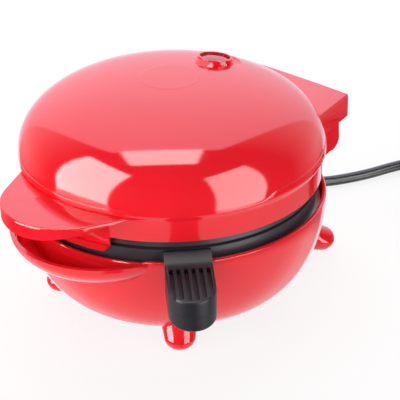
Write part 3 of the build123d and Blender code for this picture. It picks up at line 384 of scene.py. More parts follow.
SLOT_FINISH = {
    "shell_red": red_gloss,
    "plate_black": black_coating,
    "pan_metal": pan_sheet,
    "element_steel": element_sheath,
    "steel": bright_steel,
    "grip_black": black_satin,
    "lens_red": lamp_lens_red,
    "lamp_glass": lamp_glass,
    "rubber_black": black_rubber,
    "cord_black": cord_sheath,
    "plug_black": black_satin,
    "control_white": white_ceramic,
    "lead_white": white_ceramic,
}


# Making pieces

def add_piece(name, bm, material, body):
    """A new object at the origin from a bmesh, riding on a body."""
    mesh = bpy.data.meshes.new(name)
    bm.to_mesh(mesh)
    bm.free()
    piece = bpy.data.objects.new(name, mesh)
    bpy.context.scene.collection.objects.link(piece)
    mesh.materials.append(material)
    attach(piece, body)
    return piece


def merged(node):
    """The CAD node's mesh with its split vertices joined, as a bmesh to reshape."""
    bm = bmesh.new()
    bm.from_mesh(frame["nodes"][node].data)
    bmesh.ops.remove_doubles(bm, verts=bm.verts, dist=1e-6)
    return bm


def shade(bm, turn):
    """Round faces shade smooth, and edges turned by more than this stay crisp."""
    bm.normal_update()
    for face in bm.faces:
        face.smooth = True
    for edge in bm.edges:
        edge.smooth = len(edge.link_faces) == 2 and edge.calc_face_angle() < turn


def stand_in(node, bm, slope=None):
    """A piece made from the node's own mesh, perhaps reshaped; it stands for the node."""
    shade(bm, settings("cake_shell").smooth)
    slot = slot_of_node(node)
    piece = add_piece(f"{node}_finish", bm, SLOT_FINISH[slot](), body_of_node(node))
    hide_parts(node)
    if slope:
        steady_normals(piece.data, slope)
    return piece


def smooth_node(node):
    return stand_in(node, merged(node))


def place_of(vertex):
    """A vertex's place in millimetres from the body's axis."""
    return (vertex.co - AXIS) * 1000


def put(vertex, x, y, z):
    vertex.co = AXIS + Vector((x, y, z)) / 1000


def ease(value, low, high):
    """Nought below low, one above high, and a smooth rise between them."""
    share = min(max((value - low) / (high - low), 0), 1)
    return share * share * (3 - 2 * share)


def turned_slope(place, outward, upward):
    across = max(math.hypot(place.x, place.y), 1e-6)
    return Vector((outward * place.x / across, outward * place.y / across, upward)).normalized()


def dome_slope(place):
    """Outward direction at a place on the dome, or None away from it."""
    across = math.hypot(place.x, place.y)
    rise = place.z - CREASE
    if rise < 0:
        return None
    filled = (across / DOME_RADIUS) ** DOME_FULLNESS + (rise / DOME_HEIGHT) ** DOME_FULLNESS
    if abs(filled - 1) > 0.012:
        return None
    outward = (across / DOME_RADIUS) ** (DOME_FULLNESS - 1) / DOME_RADIUS
    upward = (rise / DOME_HEIGHT) ** (DOME_FULLNESS - 1) / DOME_HEIGHT
    return turned_slope(place, outward, upward)


def bowl_slope(place):
    """Outward direction at a place on the bowl, or None away from it."""
    across = (math.hypot(place.x, place.y) - BOWL_FLAT) / (BOWL_RADIUS - BOWL_FLAT)
    drop = (BOWL_RIM - place.z) / (BOWL_RIM - BOWL_LOW)
    if across < 0 or drop < 0 or abs(across * across + drop * drop - 1) > 0.012:
        return None
    return turned_slope(place, across / (BOWL_RADIUS - BOWL_FLAT), -drop / (BOWL_RIM - BOWL_LOW))


def steady_normals(mesh, slope):
    """Shade the faces on a turned form from its formula, free of the facets' own slopes."""
    known = [slope(place_of(vertex)) for vertex in mesh.vertices]
    normals = [tuple(corner.vector) for corner in mesh.corner_normals]
    for face in mesh.polygons:
        slopes = [known[vertex] for vertex in face.vertices]
        if None in slopes or slopes[0].dot(face.normal) < 0.7:
            continue
        for loop, direction in zip(face.loop_indices, slopes):
            normals[loop] = tuple(direction)
    mesh.normals_split_custom_set(normals)


def add_profile(bm, profile, angle):
    """Vertices of a profile, given as radius and height, at an angle round the axis."""
    row = []
    for radius, height in profile:
        vertex = bm.verts.new()
        put(vertex, radius * math.cos(angle), radius * math.sin(angle), height)
        row.append(vertex)
    return row


def finish_nodes(*nodes):
    """CAD nodes that stay as they are get their slot's finish."""
    for node in nodes:
        piece = frame["nodes"][node]
        piece.data.materials.clear()
        piece.data.materials.append(SLOT_FINISH[slot_of_node(node)]())


class PieceOperator:
    """What the piece operators share."""
    bl_options = {"REGISTER", "UNDO"}


# Lid frame: its lip, its hinge block and its blind ears

# The lip's run, rows and rises, in radians and millimetres
LIP_START = math.radians(-237.5)
LIP_END = math.radians(57.5)
LIP_STEPS = 236
LIP_ROWS = (92.2, 93.0, 93.8, 94.6, 95.3)
LIP_TOP = 96.2
LIP_PROUD = 0.03
LIP_SKIN = 0.02
LIP_SHELF_HALF = (43.0, 50.0)
LIP_SHELF_RISE = 1.9
LIP_SHELF_PROUD = 0.75
LIP_REAR_FROM = (-21.0, -9.0)
LIP_REAR_RISE = 3.8
LIP_REAR_PROUD = 0.35

# How near a vertex lies to the bore whose rim it is on
BORE_TOUCH = 0.05

# Hinge block and pins: where the block's taper and shortening start, its rear and its new rear
BLOCK_TAPER_START = 76.0
BLOCK_TAPER_HALF = 40.0
BLOCK_SHORT_START = 100.0
BLOCK_REAR = 118.0
BLOCK_NEW_REAR = 115.0
PIN_WAIST = 2.45
PIN_SUNK = 0.4


def dome_radius_at(height):
    filled = (max(height - CREASE, 0) / DOME_HEIGHT) ** DOME_FULLNESS
    return DOME_RADIUS * (1 - filled) ** (1 / DOME_FULLNESS)


def band_radius_at(height):
    share = (height - BAND_LOW[1]) / (BAND_HIGH[1] - BAND_LOW[1])
    return BAND_LOW[0] + (BAND_HIGH[0] - BAND_LOW[0]) * share


def lip_profile(angle):
    """The lip closes the crease; over the shelf and at the rear it stands higher and prouder."""
    x, y = DOME_RADIUS * math.cos(angle), DOME_RADIUS * math.sin(angle)
    over_shelf = 1 - ease(abs(x), *LIP_SHELF_HALF) if y < 0 else 0
    rear = ease(y, *LIP_REAR_FROM)
    top = LIP_TOP + LIP_SHELF_RISE * over_shelf + LIP_REAR_RISE * rear
    proud = LIP_PROUD + LIP_SHELF_PROUD * over_shelf + LIP_REAR_PROUD * rear
    profile = []
    for height in LIP_ROWS:
        band = band_radius_at(height) + LIP_SKIN
        dome = dome_radius_at(height) + proud
        profile.append((band + (dome - band) * ease(height, LIP_ROWS[0], LIP_ROWS[-1]), height))
    for drop, inward in ((0.3, 0), (0.08, 0.06), (0, 0.28)):
        profile.append((dome_radius_at(top - drop) + proud - inward, top - drop))
    profile.append((dome_radius_at(top) - 0.5, top))
    return profile


def add_frame_lip():
    """The lip runs round the dome and leaves out the hinge block; its profile changes on the way."""
    bm = bmesh.new()
    rows = []
    for step in range(LIP_STEPS + 1):
        angle = LIP_START + (LIP_END - LIP_START) * step / LIP_STEPS
        rows.append(add_profile(bm, lip_profile(angle), angle))
    for row, after in zip(rows, rows[1:]):
        for i in range(len(row) - 1):
            bm.faces.new((row[i], after[i], after[i + 1], row[i + 1]))
    shade(bm, settings("cake_shell").smooth)
    add_piece("lid_frame_lip", bm, red_gloss(), "lid")


def draw_in_block(bm):
    """Bring the hinge block's rear face and rear corners in a little."""
    for vertex in bm.verts:
        x, y, z = place_of(vertex)
        if z < BLOCK_LOW:
            continue
        if y > BLOCK_TAPER_START and abs(x) > BLOCK_TAPER_HALF:
            taper = 0.5 * (y - BLOCK_TAPER_START) / (BLOCK_REAR - BLOCK_TAPER_START)
            x = math.copysign(BLOCK_TAPER_HALF + (abs(x) - BLOCK_TAPER_HALF) * (1 - taper), x)
        if y > BLOCK_SHORT_START:
            share = (BLOCK_NEW_REAR - BLOCK_SHORT_START) / (BLOCK_REAR - BLOCK_SHORT_START)
            y = BLOCK_SHORT_START + (y - BLOCK_SHORT_START) * share
        put(vertex, x, y, z)


def close_ears(bm):
    """Blind bores: a skin over each ear's outer face."""
    for side in (-1, 1):
        rim = []
        for vertex in bm.verts:
            x, y, z = place_of(vertex)
            out = math.hypot(y - PIN_PLACE[0], z - PIN_PLACE[1])
            if abs(x - side * EAR_FACE) < BORE_TOUCH and abs(out - PIN_BORE) < BORE_TOUCH:
                rim.append((math.atan2(z - PIN_PLACE[1], y - PIN_PLACE[0]), vertex))
        rim.sort(key=lambda entry: entry[0])
        skin = bm.faces.new([vertex for _, vertex in rim])
        skin.normal_update()
        if skin.normal.x * side < 0:
            skin.normal_flip()


def finish_lid_frame():
    bm = merged("lid_frame")
    draw_in_block(bm)
    close_ears(bm)
    stand_in("lid_frame", bm)


def finish_hinge_pins():
    """Pins that end behind the skin of the ears."""
    bm = merged("hinge_pins")
    for vertex in bm.verts:
        x, y, z = place_of(vertex)
        if abs(x) > EAR_FACE - 0.5:
            out = math.hypot(y - PIN_PLACE[0], z - PIN_PLACE[1])
            share = min(1, PIN_WAIST / max(out, 0.01))
            y = PIN_PLACE[0] + (y - PIN_PLACE[0]) * share
            z = PIN_PLACE[1] + (z - PIN_PLACE[1]) * share
            put(vertex, math.copysign(EAR_FACE - PIN_SUNK, x), y, z)
    stand_in("hinge_pins", bm)


# Lid cover and lens: the lamp leans back with the dome

LAMP_LEAN = math.radians(9.8)
LAMP_LIFT = 0.4
LAMP_LOW = CREASE + 0.85 * DOME_HEIGHT
LENS_DROP = 0.9


def lean_lamp(vertex, share, drop):
    """Tilt a vertex by its share of the lean that sets the lamp square to the dome."""
    x, y, z = place_of(vertex)
    put(vertex, x, y, z + share * (LAMP_LIFT - drop - (y - LAMP_Y) * math.tan(LAMP_LEAN)))


def finish_lid_cover():
    """The lamp's ring leans, and the lean fades out towards its foot."""
    bm = merged("lid_cover")
    for vertex in bm.verts:
        place = place_of(vertex)
        out = math.hypot(place.x, place.y - LAMP_Y)
        on_dome = out > LAMP_RING + 0.1 and dome_slope(place)
        if out < LAMP_FOOT + 0.5 and place.z > LAMP_LOW and not on_dome:
            lean_lamp(vertex, 1 - ease(out, LAMP_RING, LAMP_FOOT), 0)
    stand_in("lid_cover", bm, dome_slope)


def finish_lamp_lens():
    bm = merged("lamp_lens")
    for vertex in bm.verts:
        lean_lamp(vertex, 1, LENS_DROP)
    stand_in("lamp_lens", bm)


# Base shell: filled vents, fuller legs and the wall behind the scoop

# How near a vertex lies to the slot whose rim it is on
VENT_TOUCH = 0.03

# Legs about their feet, and pads
LEG_TOP = 17.0
LEG_REACH = 12.0
LEG_EDGE = 9.0
LEG_ANKLE = (1.0, 10.0)
LEG_GROWTH = 1.24
LEG_TAPER = 0.06
LEG_EDGE_TAPER = 0.16
PAD_SHARE = 0.78

# The scoop wall's profile, as radius and height, and half of its turn
SCOOP_WALL = ((88.7, 61.2), (88.7, 66.0), (89.0, 66.4), (90.4, 66.4), (90.75, 66.0), (90.75, 61.2))
SCOOP_WALL_HALF = math.radians(32.3)
SCOOP_WALL_STEPS = 48


def fill_vents(bm):
    """Close the slots under the scoop."""
    reach = (VENT_LENGTH - VENT_WIDTH) / 2
    for middle_x in VENTS:
        on_rim = set()
        for vertex in bm.verts:
            x, y, z = place_of(vertex)
            out = math.hypot(max(abs(x - middle_x) - reach, 0), z - VENT_HEIGHT)
            if y < 0 and abs(out - VENT_WIDTH / 2) < VENT_TOUCH:
                on_rim.add(vertex)
        walls = [face for face in bm.faces if all(vertex in on_rim for vertex in face.verts)]
        bmesh.ops.delete(bm, geom=walls, context="FACES")
        open_edges = [edge for edge in bm.edges if edge.is_boundary]
        patches = bmesh.ops.holes_fill(bm, edges=open_edges, sides=0)["faces"]
        bmesh.ops.triangulate(bm, faces=patches)


def fill_out_legs(bm, feet):
    """Widen the legs about their feet; where a leg meets the bowl, its edge stays on the bowl."""
    for vertex in bm.verts:
        x, y, z = place_of(vertex)
        if z > LEG_TOP:
            continue
        on_bowl = bowl_slope(Vector((x, y, z))) is not None
        for foot_x, foot_y in feet:
            out = math.hypot(x - foot_x, y - foot_y)
            if out > LEG_REACH:
                continue
            rise = ease(z, *LEG_ANKLE)
            grown = LEG_GROWTH - rise * (LEG_TAPER + LEG_EDGE_TAPER * ease(out, LEG_EDGE, LEG_REACH))
            x, y = foot_x + (x - foot_x) * grown, foot_y + (y - foot_y) * grown
            across = (math.hypot(x, y) - BOWL_FLAT) / (BOWL_RADIUS - BOWL_FLAT)
            if on_bowl and across > 0:
                z = BOWL_RIM - (BOWL_RIM - BOWL_LOW) * math.sqrt(1 - across * across)
            put(vertex, x, y, z)


def pad_places():
    """Middle of each foot pad, from the node's four loose parts."""
    bm = merged("foot_pads")
    corners = {}
    for vertex in bm.verts:
        place = place_of(vertex)
        corners.setdefault((place.x > 0, place.y > 0), []).append(place)
    bm.free()
    middles = []
    for group in corners.values():
        xs, ys = [place.x for place in group], [place.y for place in group]
        middles.append(((min(xs) + max(xs)) / 2, (min(ys) + max(ys)) / 2))
    return middles


def finish_base_shell():
    bm = merged("base_shell")
    fill_vents(bm)
    fill_out_legs(bm, pad_places())
    stand_in("base_shell", bm, bowl_slope)


def finish_foot_pads():
    """Pads a little smaller than the legs' soles."""
    bm = merged("foot_pads")
    feet = pad_places()
    for vertex in bm.verts:
        x, y, z = place_of(vertex)
        foot_x, foot_y = min(feet, key=lambda foot: math.hypot(x - foot[0], y - foot[1]))
        put(vertex, foot_x + (x - foot_x) * PAD_SHARE, foot_y + (y - foot_y) * PAD_SHARE, z)
    stand_in("foot_pads", bm)


def add_scoop_wall():
    """The bowl's wall behind the scoop, up to the scoop's rim."""
    bm = bmesh.new()
    section = bm.faces.new(add_profile(bm, SCOOP_WALL, -math.pi / 2 - SCOOP_WALL_HALF))
    whole = [*section.verts, *section.edges, section]
    bmesh.ops.spin(
        bm, geom=whole, cent=AXIS, axis=(0, 0, 1), angle=2 * SCOOP_WALL_HALF, steps=SCOOP_WALL_STEPS,
    )
    bmesh.ops.recalc_face_normals(bm, faces=bm.faces)
    shade(bm, settings("cake_shell").smooth)
    add_piece("scoop_wall", bm, red_gloss(), "base")


class CAKE_OT_shells(PieceOperator, bpy.types.Operator):
    """Finish the red housings: base shell, lid frame, lid cover and bottom cover"""
    bl_idname = "cake.shells"
    bl_label = "Housings"

    def execute(self, context):
        finish_base_shell()
        add_scoop_wall()
        finish_lid_frame()
        add_frame_lip()
        finish_lid_cover()
        smooth_node("bottom_cover")
        return {"FINISHED"}


# Plates, pans and what they carry

RIM_INSIDE = 83.6
RIM_EDGE = 0.6
RIM_EASE = 0.45


def part_rims(bm):
    """Ease the plates' rims back at their joint, which leaves the dark line between them."""
    for vertex in bm.verts:
        x, y, z = place_of(vertex)
        if math.hypot(x, y) > RIM_INSIDE and abs(z - PLATE_JOINT) < RIM_EDGE:
            put(vertex, x, y, z + math.copysign(RIM_EASE, z - PLATE_JOINT))


class CAKE_OT_plates(PieceOperator, bpy.types.Operator):
    """Finish the baking plates, pans, elements and controls"""
    bl_idname = "cake.plates"
    bl_label = "Plates and Heat"

    def execute(self, context):
        for node in ("lower_plate", "upper_plate"):
            bm = merged(node)
            part_rims(bm)
            stand_in(node, bm)
        finish_nodes(
            "lower_pan", "upper_pan", "lower_heater", "upper_heater", "thermostat", "thermal_fuse",
            "terminal_block", "base_leads", "lid_leads", "neon_lamp", "pan_screws", "upper_plate_screws",
            "lid_screws",
        )
        return {"FINISHED"}


class CAKE_OT_lamp(PieceOperator, bpy.types.Operator):
    """Finish the pilot lamp's lens"""
    bl_idname = "cake.lamp"
    bl_label = "Pilot Lamp"

    def execute(self, context):
        finish_lamp_lens()
        return {"FINISHED"}


# Grip

GROOVES = 6
GROOVE_PITCH = 4.1
GROOVE_HALF = 1.15
GROOVE_START = 99.2
GROOVE_DEPTH = 2.8
GROOVE_MARGIN = 3.2
GROOVE_OVERRUN = 1.2
CUTTER_RISE = 5.8
ROUND_STEPS = 8


def grip_height(out):
    fall = (GRIP_START[1] - GRIP_FRONT[1]) / (GRIP_FRONT[0] - GRIP_START[0])
    return GRIP_START[1] - fall * (out - GRIP_START[0])


def groove_outline(across):
    """A groove's round-ended outline along and across the grip; its end follows the round front."""
    nose = GRIP_FRONT[0] - GRIP_HALF
    front = math.sqrt(max((GRIP_HALF - GROOVE_MARGIN) ** 2 - across * across, 0))
    last = nose + front + GROOVE_OVERRUN - GROOVE_HALF
    outline = []
    for middle_out, first_turn in ((last, -math.pi / 2), (GROOVE_START, math.pi / 2)):
        for step in range(ROUND_STEPS + 1):
            turn = first_turn + math.pi * step / ROUND_STEPS
            outline.append((middle_out + GROOVE_HALF * math.cos(turn), across + GROOVE_HALF * math.sin(turn)))
    return outline


def groove_cutter():
    """Bars that stand in the grooves between the ribs and cut them deeper."""
    heading = Vector((math.cos(math.radians(GRIP_ANGLE)), math.sin(math.radians(GRIP_ANGLE)), 0))
    side = Vector((-heading.y, heading.x, 0))
    bm = bmesh.new()
    for groove in range(GROOVES):
        sole = []
        for out, over in groove_outline((groove - (GROOVES - 1) / 2) * GROOVE_PITCH):
            spot = heading * out + side * over
            vertex = bm.verts.new()
            put(vertex, spot.x, spot.y, grip_height(out) - GROOVE_DEPTH)
            sole.append(vertex)
        risen = bmesh.ops.extrude_face_region(bm, geom=[bm.faces.new(sole)])["geom"]
        top = [item for item in risen if isinstance(item, bmesh.types.BMVert)]
        bmesh.ops.translate(bm, verts=top, vec=(0, 0, CUTTER_RISE / 1000))
    bmesh.ops.recalc_face_normals(bm, faces=bm.faces)
    mesh = bpy.data.meshes.new("groove_cutter")
    bm.to_mesh(mesh)
    bm.free()
    cutter = bpy.data.objects.new("groove_cutter", mesh)
    bpy.context.scene.collection.objects.link(cutter)
    return cutter


def cut_grooves(piece):
    """Deepen the grooves between the ribs and let them end along the round front."""
    cutter = groove_cutter()
    cut = piece.modifiers.new("grooves", "BOOLEAN")
    cut.operation = "DIFFERENCE"
    cut.solver = "EXACT"
    cut.object = cutter
    shaped = bpy.data.meshes.new_from_object(piece.evaluated_get(bpy.context.evaluated_depsgraph_get()))
    piece.modifiers.clear()
    bm = bmesh.new()
    bm.from_mesh(shaped)
    shade(bm, settings("cake_shell").smooth)
    bm.to_mesh(piece.data)
    bm.free()
    bars = cutter.data
    bpy.data.objects.remove(cutter)
    for spare in (shaped, bars):
        bpy.data.meshes.remove(spare)


class CAKE_OT_grip(PieceOperator, bpy.types.Operator):
    """Finish the draw-off grip, its hook and screws"""
    bl_idname = "cake.grip"
    bl_label = "Grip"

    def execute(self, context):
        cut_grooves(smooth_node("grip_top"))
        smooth_node("grip_bottom")
        finish_nodes("grip_hook", "grip_screws")
        return {"FINISHED"}


class CAKE_OT_fixings(PieceOperator, bpy.types.Operator):
    """Finish the hinge pins, foot pads and cover screws"""
    bl_idname = "cake.fixings"
    bl_label = "Pins, Pads and Screws"

    def execute(self, context):
        finish_hinge_pins()
        finish_foot_pads()
        smooth_node("cover_screws")
        return {"FINISHED"}


# Cord: the route's points repeated from the part's source, in millimetres from the body's axis
CORD_ROUTE = (
    (-11.0, 14.5, 22.5),
    (-22.0, 50.0, 27.0),
    (-22.0, 122.0, 27.0),
    (-18.5, 151.0, 3.6),
    (0.5, 182.0, 3.6),
    (11.4, 212.1, 4.6),
)
LAST_RUN = 31.0
CORD_HEADING = 64.0
COIL_PITCH = 7.6
COIL_RADIUS = 43.3
COIL_HEIGHT = 4.6
COIL_TURNS = 2.5
POINTS_PER_TURN = 16


def cord_points():
    """Control points from inside the outlet to the plug's neck."""
    points = [AXIS + Vector(place) / 1000 for place in CORD_ROUTE]
    heading = Vector((math.cos(math.radians(CORD_HEADING)), math.sin(math.radians(CORD_HEADING)), 0))
    straight = settings("cake_cord").diameter
    points.append(points[-1] + heading * LAST_RUN / 1000)
    lean = math.atan(COIL_PITCH / (2 * math.pi * COIL_RADIUS))
    side = Matrix.Rotation(math.pi / 2 + lean, 3, "Z") @ heading
    first = points[-1] + heading * straight
    centre = first - side * COIL_RADIUS / 1000
    start = math.atan2(side.y, side.x)
    steps = int(COIL_TURNS * POINTS_PER_TURN)
    for step in range(steps + 1):
        turn = step / POINTS_PER_TURN
        drawn_in = turn if turn <= COIL_TURNS / 2 else COIL_TURNS - turn
        height = COIL_HEIGHT + COIL_PITCH * ease(turn, 1, 1.5)
        # the control points of a round curve stand a little outside it
        radius = (COIL_RADIUS - COIL_PITCH * drawn_in) / math.cos(math.pi / POINTS_PER_TURN) ** 2
        angle = start - 2 * math.pi * turn
        out = Vector((math.cos(angle), math.sin(angle), 0)) * radius
        points.append(Vector((centre.x, centre.y, height / 1000)) + out / 1000)
    tail = Vector((math.sin(angle), -math.cos(angle), 0))
    points.append(points[-1] + tail * straight)
    return points


def cord_line():
    """The cord as a round curve through its control points; gives the curve and its first point."""
    points = cord_points()
    line = bpy.data.curves.new("mains_cord", "CURVE")
    line.dimensions = "3D"
    line.bevel_depth = settings("cake_cord").diameter / 2
    line.bevel_resolution = 6
    line.resolution_u = 12
    line.use_fill_caps = True
    spline = line.splines.new("NURBS")
    spline.points.add(len(points) - 1)
    for point, place in zip(spline.points, points):
        point.co = (*place, 1)
    spline.order_u = 3
    spline.use_endpoint_u = True
    line.materials.append(cord_sheath())
    return line, points[0]


class CAKE_OT_cord(PieceOperator, bpy.types.Operator):
    """Make the cord with its put-away coil, and finish the plug, tie and strain relief"""
    bl_idname = "cake.cord"
    bl_label = "Cord"

    def execute(self, context):
        line, outlet = cord_line()
        cord = bpy.data.objects.new("mains_cord", line)
        context.scene.collection.objects.link(cord)
        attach(cord, "base")
        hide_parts("power_cord", "cord_coil")
        ends = [smooth_node(node) for node in ("plug", "cord_tie", "strain_relief")]
        settings("cake_cord").diameter
        return {"FINISHED"}


# Studio: floor, soft light, white surround and camera

# The ceiling softbox lies inside three planes; each is given by its normal, right, back and up
CEILING_EDGES = ((-1.28, 1, 0.38), (1.28, 1, 0.55), (0, 1, -0.09))
CEILING_ROUNDING = 0.05
CEILING_BLUR = 0.02
CEILING_TINT = (0.93, 1.0, 1.14, 1)
# How bright the surround is: two limits, of a direction's height or of its reach behind the object, and
# the brightness, or the share of it, at each
CEILING_BY_HEIGHT = (0, 1, 1.1, 2.6)
BACKDROP_BY_REACH = (0.1, 0.6, 0.04, 0.95)
BACKDROP_BY_HEIGHT = (-0.45, -0.12, 0.3, 1)
TABLE_BY_HEIGHT = (-0.49, -0.56, 0, 1.05)
TABLE_BY_REACH = (0.45, 0.8, 1, 0.2)
DARKEST = 0.03
SOFT_LIGHT = 0.42
FLOOR_GLOW = 0.85
# Lamp faces in front: facing and up, each right, back and up, then half width, half height, taper and power.
# The last is the dark side of the studio, so its power is below nought.
LAMP_FACES = (
    ((-0.876, -0.362, 0.32), (0, 0, 1), 0.43, 0.73, 0.05, 12.5),
    ((0.754, -0.624, 0.205), (0, 0, 1), 0.37, 0.75, 0.05, 7.0),
    ((-0.079, -0.067, 0.995), (0, 1, 0), 0.32, 0.19, 0.0, 9.7),
    ((0.13, -0.81, -0.58), (0, 0, 1), 0.166, 0.35, 0.0, -1.25),
)
# Soft lamps: place to the right, behind and above in metres, width, height (none for a disc) and power
SOFT_LAMPS = {
    "overhead_softbox": ((-0.1, 1.18, 1.0), 2.2, None, 27),
    "left_softbox": ((-1.0, -0.7, 0.25), 1.5, 1.1, 16),
    "right_softbox": ((1.0, -0.9, 0.30), 1.0, 1.1, 9),
}
LAMP_TARGET = Vector((0, 0, 0.08))


def camera_axes():
    """Unit vectors of the camera's right on the floor and its line of sight on the floor."""
    side = settings("cake_stage").side
    return Vector((math.cos(side), math.sin(side), 0)), Vector((-math.sin(side), math.cos(side), 0))


def from_camera(right_by, back_by, up_by):
    """A vector given to the right, behind and up, seen from the camera."""
    right, away = camera_axes()
    return right * right_by + away * back_by + Vector((0, 0, up_by))


def add_camera():
    stage = settings("cake_stage")
    target = AXIS + from_camera(stage.aim_right, 0, stage.aim_high)
    sight = from_camera(0, math.cos(stage.rise), -math.sin(stage.rise))
    place = target - sight * stage.distance
    level = sight.cross(Vector((0, 0, 1))).normalized()
    upward = level.cross(sight)
    rolled = level * math.cos(stage.roll) + upward * math.sin(stage.roll)
    turned = upward * math.cos(stage.roll) - level * math.sin(stage.roll)
    camera = bpy.data.objects.new("studio_camera", bpy.data.cameras.new("studio_camera"))
    camera.matrix_world = Matrix((
        (rolled.x, turned.x, -sight.x, place.x),
        (rolled.y, turned.y, -sight.y, place.y),
        (rolled.z, turned.z, -sight.z, place.z),
        (0, 0, 0, 1),
    ))
    camera.data.lens = stage.lens
    camera.data.sensor_width = 36
    camera.data.clip_start = 0.05
    bpy.context.scene.collection.objects.link(camera)
    bpy.context.scene.camera = camera


def add_lamp(name, place, width, height, power):
    """A soft lamp that faces the object and isn't mirrored in it."""
    light = bpy.data.lights.new(name, "AREA")
    light.size = width
    light.shape = "RECTANGLE" if height else "DISK"
    if height:
        light.size_y = height
    light.energy = power
    lamp = bpy.data.objects.new(name, light)
    lamp.location = AXIS + from_camera(*place)
    lamp.rotation_mode = "QUATERNION"
    lamp.rotation_quaternion = (AXIS + LAMP_TARGET - lamp.location).to_track_quat("-Z", "Y")
    lamp.visible_camera = False
    lamp.visible_glossy = False
    bpy.context.scene.collection.objects.link(lamp)


def lamp_face_group():
    """The face of a soft lamp, seen in a direction: one on the face and nought beside it."""
    name = "lamp_face"
    if name in bpy.data.node_groups:
        return bpy.data.node_groups[name]
    group, entry, out = new_group(
        name,
        [
            ("Direction", "NodeSocketVector", (0, 0, 1)),
            ("Facing", "NodeSocketVector", (0, 0, 1)),
            ("Side", "NodeSocketVector", (1, 0, 0)),
            ("Up", "NodeSocketVector", (0, 1, 0)),
            ("Half Width", "NodeSocketFloat", 0.4),
            ("Half Height", "NodeSocketFloat", 0.7),
            ("Taper", "NodeSocketFloat", 0.1),
            ("Edge", "NodeSocketFloat", 0.03),
        ],
        [("Mask", "NodeSocketFloat")],
    )
    direction = entry.outputs["Direction"]
    ahead = along(group, direction, entry.outputs["Facing"])
    depth = calculate(group, "MAXIMUM", ahead, 0.05)
    across = calculate(group, "DIVIDE", along(group, direction, entry.outputs["Side"]), depth)
    height = calculate(group, "DIVIDE", along(group, direction, entry.outputs["Up"]), depth)
    narrowing = calculate(group, "MULTIPLY", height, entry.outputs["Taper"])
    width = calculate(group, "SUBTRACT", entry.outputs["Half Width"], narrowing)
    beside = calculate(group, "SUBTRACT", width, calculate(group, "ABSOLUTE", across))
    above = calculate(group, "SUBTRACT", entry.outputs["Half Height"], calculate(group, "ABSOLUTE", height))
    wide = calculate(group, "DIVIDE", beside, entry.outputs["Edge"], clamp=True)
    tall = calculate(group, "DIVIDE", above, entry.outputs["Edge"], clamp=True)
    face = calculate(group, "MULTIPLY", wide, tall)
    front = calculate(group, "GREATER_THAN", ahead, 0.05)
    group.links.new(calculate(group, "MULTIPLY", face, front), out.inputs["Mask"])
    return group


def ceiling_mask(tree, direction):
    """One on the ceiling softbox and nought beside it, with rounded corners."""
    sides = [along(tree, direction, from_camera(*edge).normalized()) for edge in CEILING_EDGES]
    inside = calculate(tree, "SMOOTH_MIN", sides[0], sides[1], CEILING_ROUNDING)
    inside = calculate(tree, "SMOOTH_MIN", inside, sides[2], CEILING_ROUNDING)
    return calculate(tree, "DIVIDE", inside, CEILING_BLUR, clamp=True)


def mirrored_light(tree, direction, ceiling):
    """Brightness of the studio that gloss mirrors: ceiling softbox, backdrop, table and lamp faces."""
    height = along(tree, direction, Vector((0, 0, 1)))
    reach = along(tree, direction, from_camera(0, 1, 0))
    overhead = calculate(tree, "MULTIPLY", ceiling, span(tree, height, *CEILING_BY_HEIGHT))
    backdrop = calculate(
        tree, "MULTIPLY", span(tree, reach, *BACKDROP_BY_REACH), span(tree, height, *BACKDROP_BY_HEIGHT)
    )
    table = calculate(
        tree, "MULTIPLY", span(tree, height, *TABLE_BY_HEIGHT), span(tree, reach, *TABLE_BY_REACH)
    )
    total = calculate(tree, "ADD", calculate(tree, "MAXIMUM", backdrop, overhead), table)
    for facing, up_hint, half_width, half_height, taper, power in LAMP_FACES:
        ahead = from_camera(*facing).normalized()
        side = ahead.cross(from_camera(*up_hint).normalized()).normalized()
        face = place_group(tree, lamp_face_group(), {
            "Direction": direction, "Facing": ahead, "Side": side, "Up": side.cross(ahead),
            "Half Width": half_width, "Half Height": half_height, "Taper": taper,
        })
        total = calculate(tree, "MULTIPLY_ADD", face.outputs["Mask"], power, total)
    return calculate(tree, "MAXIMUM", total, DARKEST)


def add_surround():
    """White to the camera, an even soft light to matt surfaces, and a painted studio to gloss."""
    world = bpy.data.worlds.new("studio_world")
    bpy.context.scene.world = world
    world.use_nodes = True
    tree = world.node_tree
    tree.nodes.clear()
    direction = tree.nodes.new("ShaderNodeTexCoord").outputs["Generated"]
    ceiling = ceiling_mask(tree, direction)
    ray = tree.nodes.new("ShaderNodeLightPath").outputs
    mirrored = calculate(tree, "MAXIMUM", ray["Is Glossy Ray"], ray["Is Transmission Ray"])
    strength = mix(tree, "FLOAT", mirrored, SOFT_LIGHT, mirrored_light(tree, direction, ceiling))
    strength = mix(tree, "FLOAT", ray["Is Camera Ray"], strength, 1.0)
    tinted = calculate(tree, "MULTIPLY", mirrored, ceiling)
    background = tree.nodes.new("ShaderNodeBackground")
    feed(tree, background.inputs["Strength"], strength)
    feed(tree, background.inputs["Color"], mix(tree, "RGBA", tinted, (1, 1, 1, 1), CEILING_TINT))
    out = tree.nodes.new("ShaderNodeOutputWorld")
    feed(tree, out.inputs["Surface"], background.outputs["Background"])


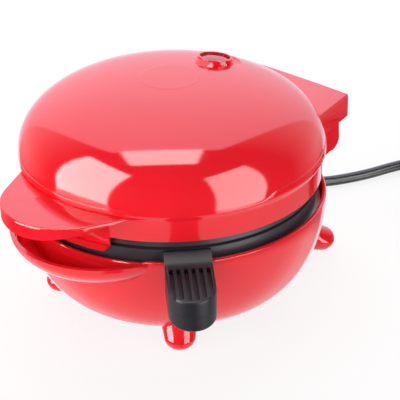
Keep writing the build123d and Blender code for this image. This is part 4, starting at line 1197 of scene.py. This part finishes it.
def add_floor():
    """A plain pale floor that shows soft shadows and isn't mirrored in the object."""
    bm = bmesh.new()
    bmesh.ops.create_grid(bm, x_segments=1, y_segments=1, size=6)
    mesh = bpy.data.meshes.new("studio_floor")
    bm.to_mesh(mesh)
    bm.free()
    floor = bpy.data.objects.new("studio_floor", mesh)
    floor.visible_glossy = False
    bpy.context.scene.collection.objects.link(floor)
    material = bpy.data.materials.new("pale_floor")
    material.use_nodes = True
    tree = material.node_tree
    tree.nodes.clear()
    lit = tree.nodes.new("ShaderNodeBsdfDiffuse")
    lit.inputs["Color"].default_value = (*settings("cake_stage").floor, 1)
    glow = tree.nodes.new("ShaderNodeEmission")
    ray = tree.nodes.new("ShaderNodeLightPath").outputs
    blend = tree.nodes.new("ShaderNodeMixShader")
    feed(tree, blend.inputs["Fac"], calculate(tree, "MULTIPLY", ray["Is Camera Ray"], FLOOR_GLOW))
    feed(tree, blend.inputs[1], lit.outputs["BSDF"])
    feed(tree, blend.inputs[2], glow.outputs["Emission"])
    out = tree.nodes.new("ShaderNodeOutputMaterial")
    feed(tree, out.inputs["Surface"], blend.outputs["Shader"])
    mesh.materials.append(material)


class CAKE_OT_stage(PieceOperator, bpy.types.Operator):
    """Set up the floor, the soft lamps, the white surround and the camera"""
    bl_idname = "cake.stage"
    bl_label = "Studio"

    def execute(self, context):
        context.scene.view_settings.view_transform = "Standard"
        add_floor()
        add_surround()
        for name, lamp in SOFT_LAMPS.items():
            add_lamp(name, *lamp)
        add_camera()
        return {"FINISHED"}


class CAKE_PT_panel(bpy.types.Panel):
    """Lists the operators and the settings"""
    bl_idname = "CAKE_PT_panel"
    bl_label = "Cake Maker"
    bl_space_type = "VIEW_3D"
    bl_region_type = "UI"
    bl_category = "Cake Maker"

    def draw(self, context):
        for operator in OPERATORS:
            self.layout.operator(operator.bl_idname)
        for name in SETTINGS:
            box = self.layout.box()
            for prop in getattr(context.scene, name).bl_rna.properties:
                if prop.identifier not in {"rna_type", "name"}:
                    box.prop(getattr(context.scene, name), prop.identifier)


SETTINGS = {
    "cake_shell": ShellSettings,
    "cake_plate": PlateSettings,
    "cake_grip": GripSettings,
    "cake_lamp": LampSettings,
    "cake_cord": CordSettings,
    "cake_stage": StageSettings,
}
OPERATORS = (
    CAKE_OT_stage,
    CAKE_OT_cord,
    CAKE_OT_shells,
    CAKE_OT_plates,
    CAKE_OT_lamp,
    CAKE_OT_grip,
    CAKE_OT_fixings,
)


def register():
    for name, group in SETTINGS.items():
        bpy.utils.register_class(group)
        setattr(bpy.types.Scene, name, PointerProperty(type=group))
    for operator in OPERATORS:
        bpy.utils.register_class(operator)
    bpy.utils.register_class(CAKE_PT_panel)


def unregister():
    bpy.utils.unregister_class(CAKE_PT_panel)
    for operator in reversed(OPERATORS):
        bpy.utils.unregister_class(operator)
    for name, group in SETTINGS.items():
        delattr(bpy.types.Scene, name)
        bpy.utils.unregister_class(group)


def main():
    register()
    for operator in OPERATORS:
        group, name = operator.bl_idname.split(".")
        getattr(getattr(bpy.ops, group), name)()


if __name__ == "__main__":
    main()
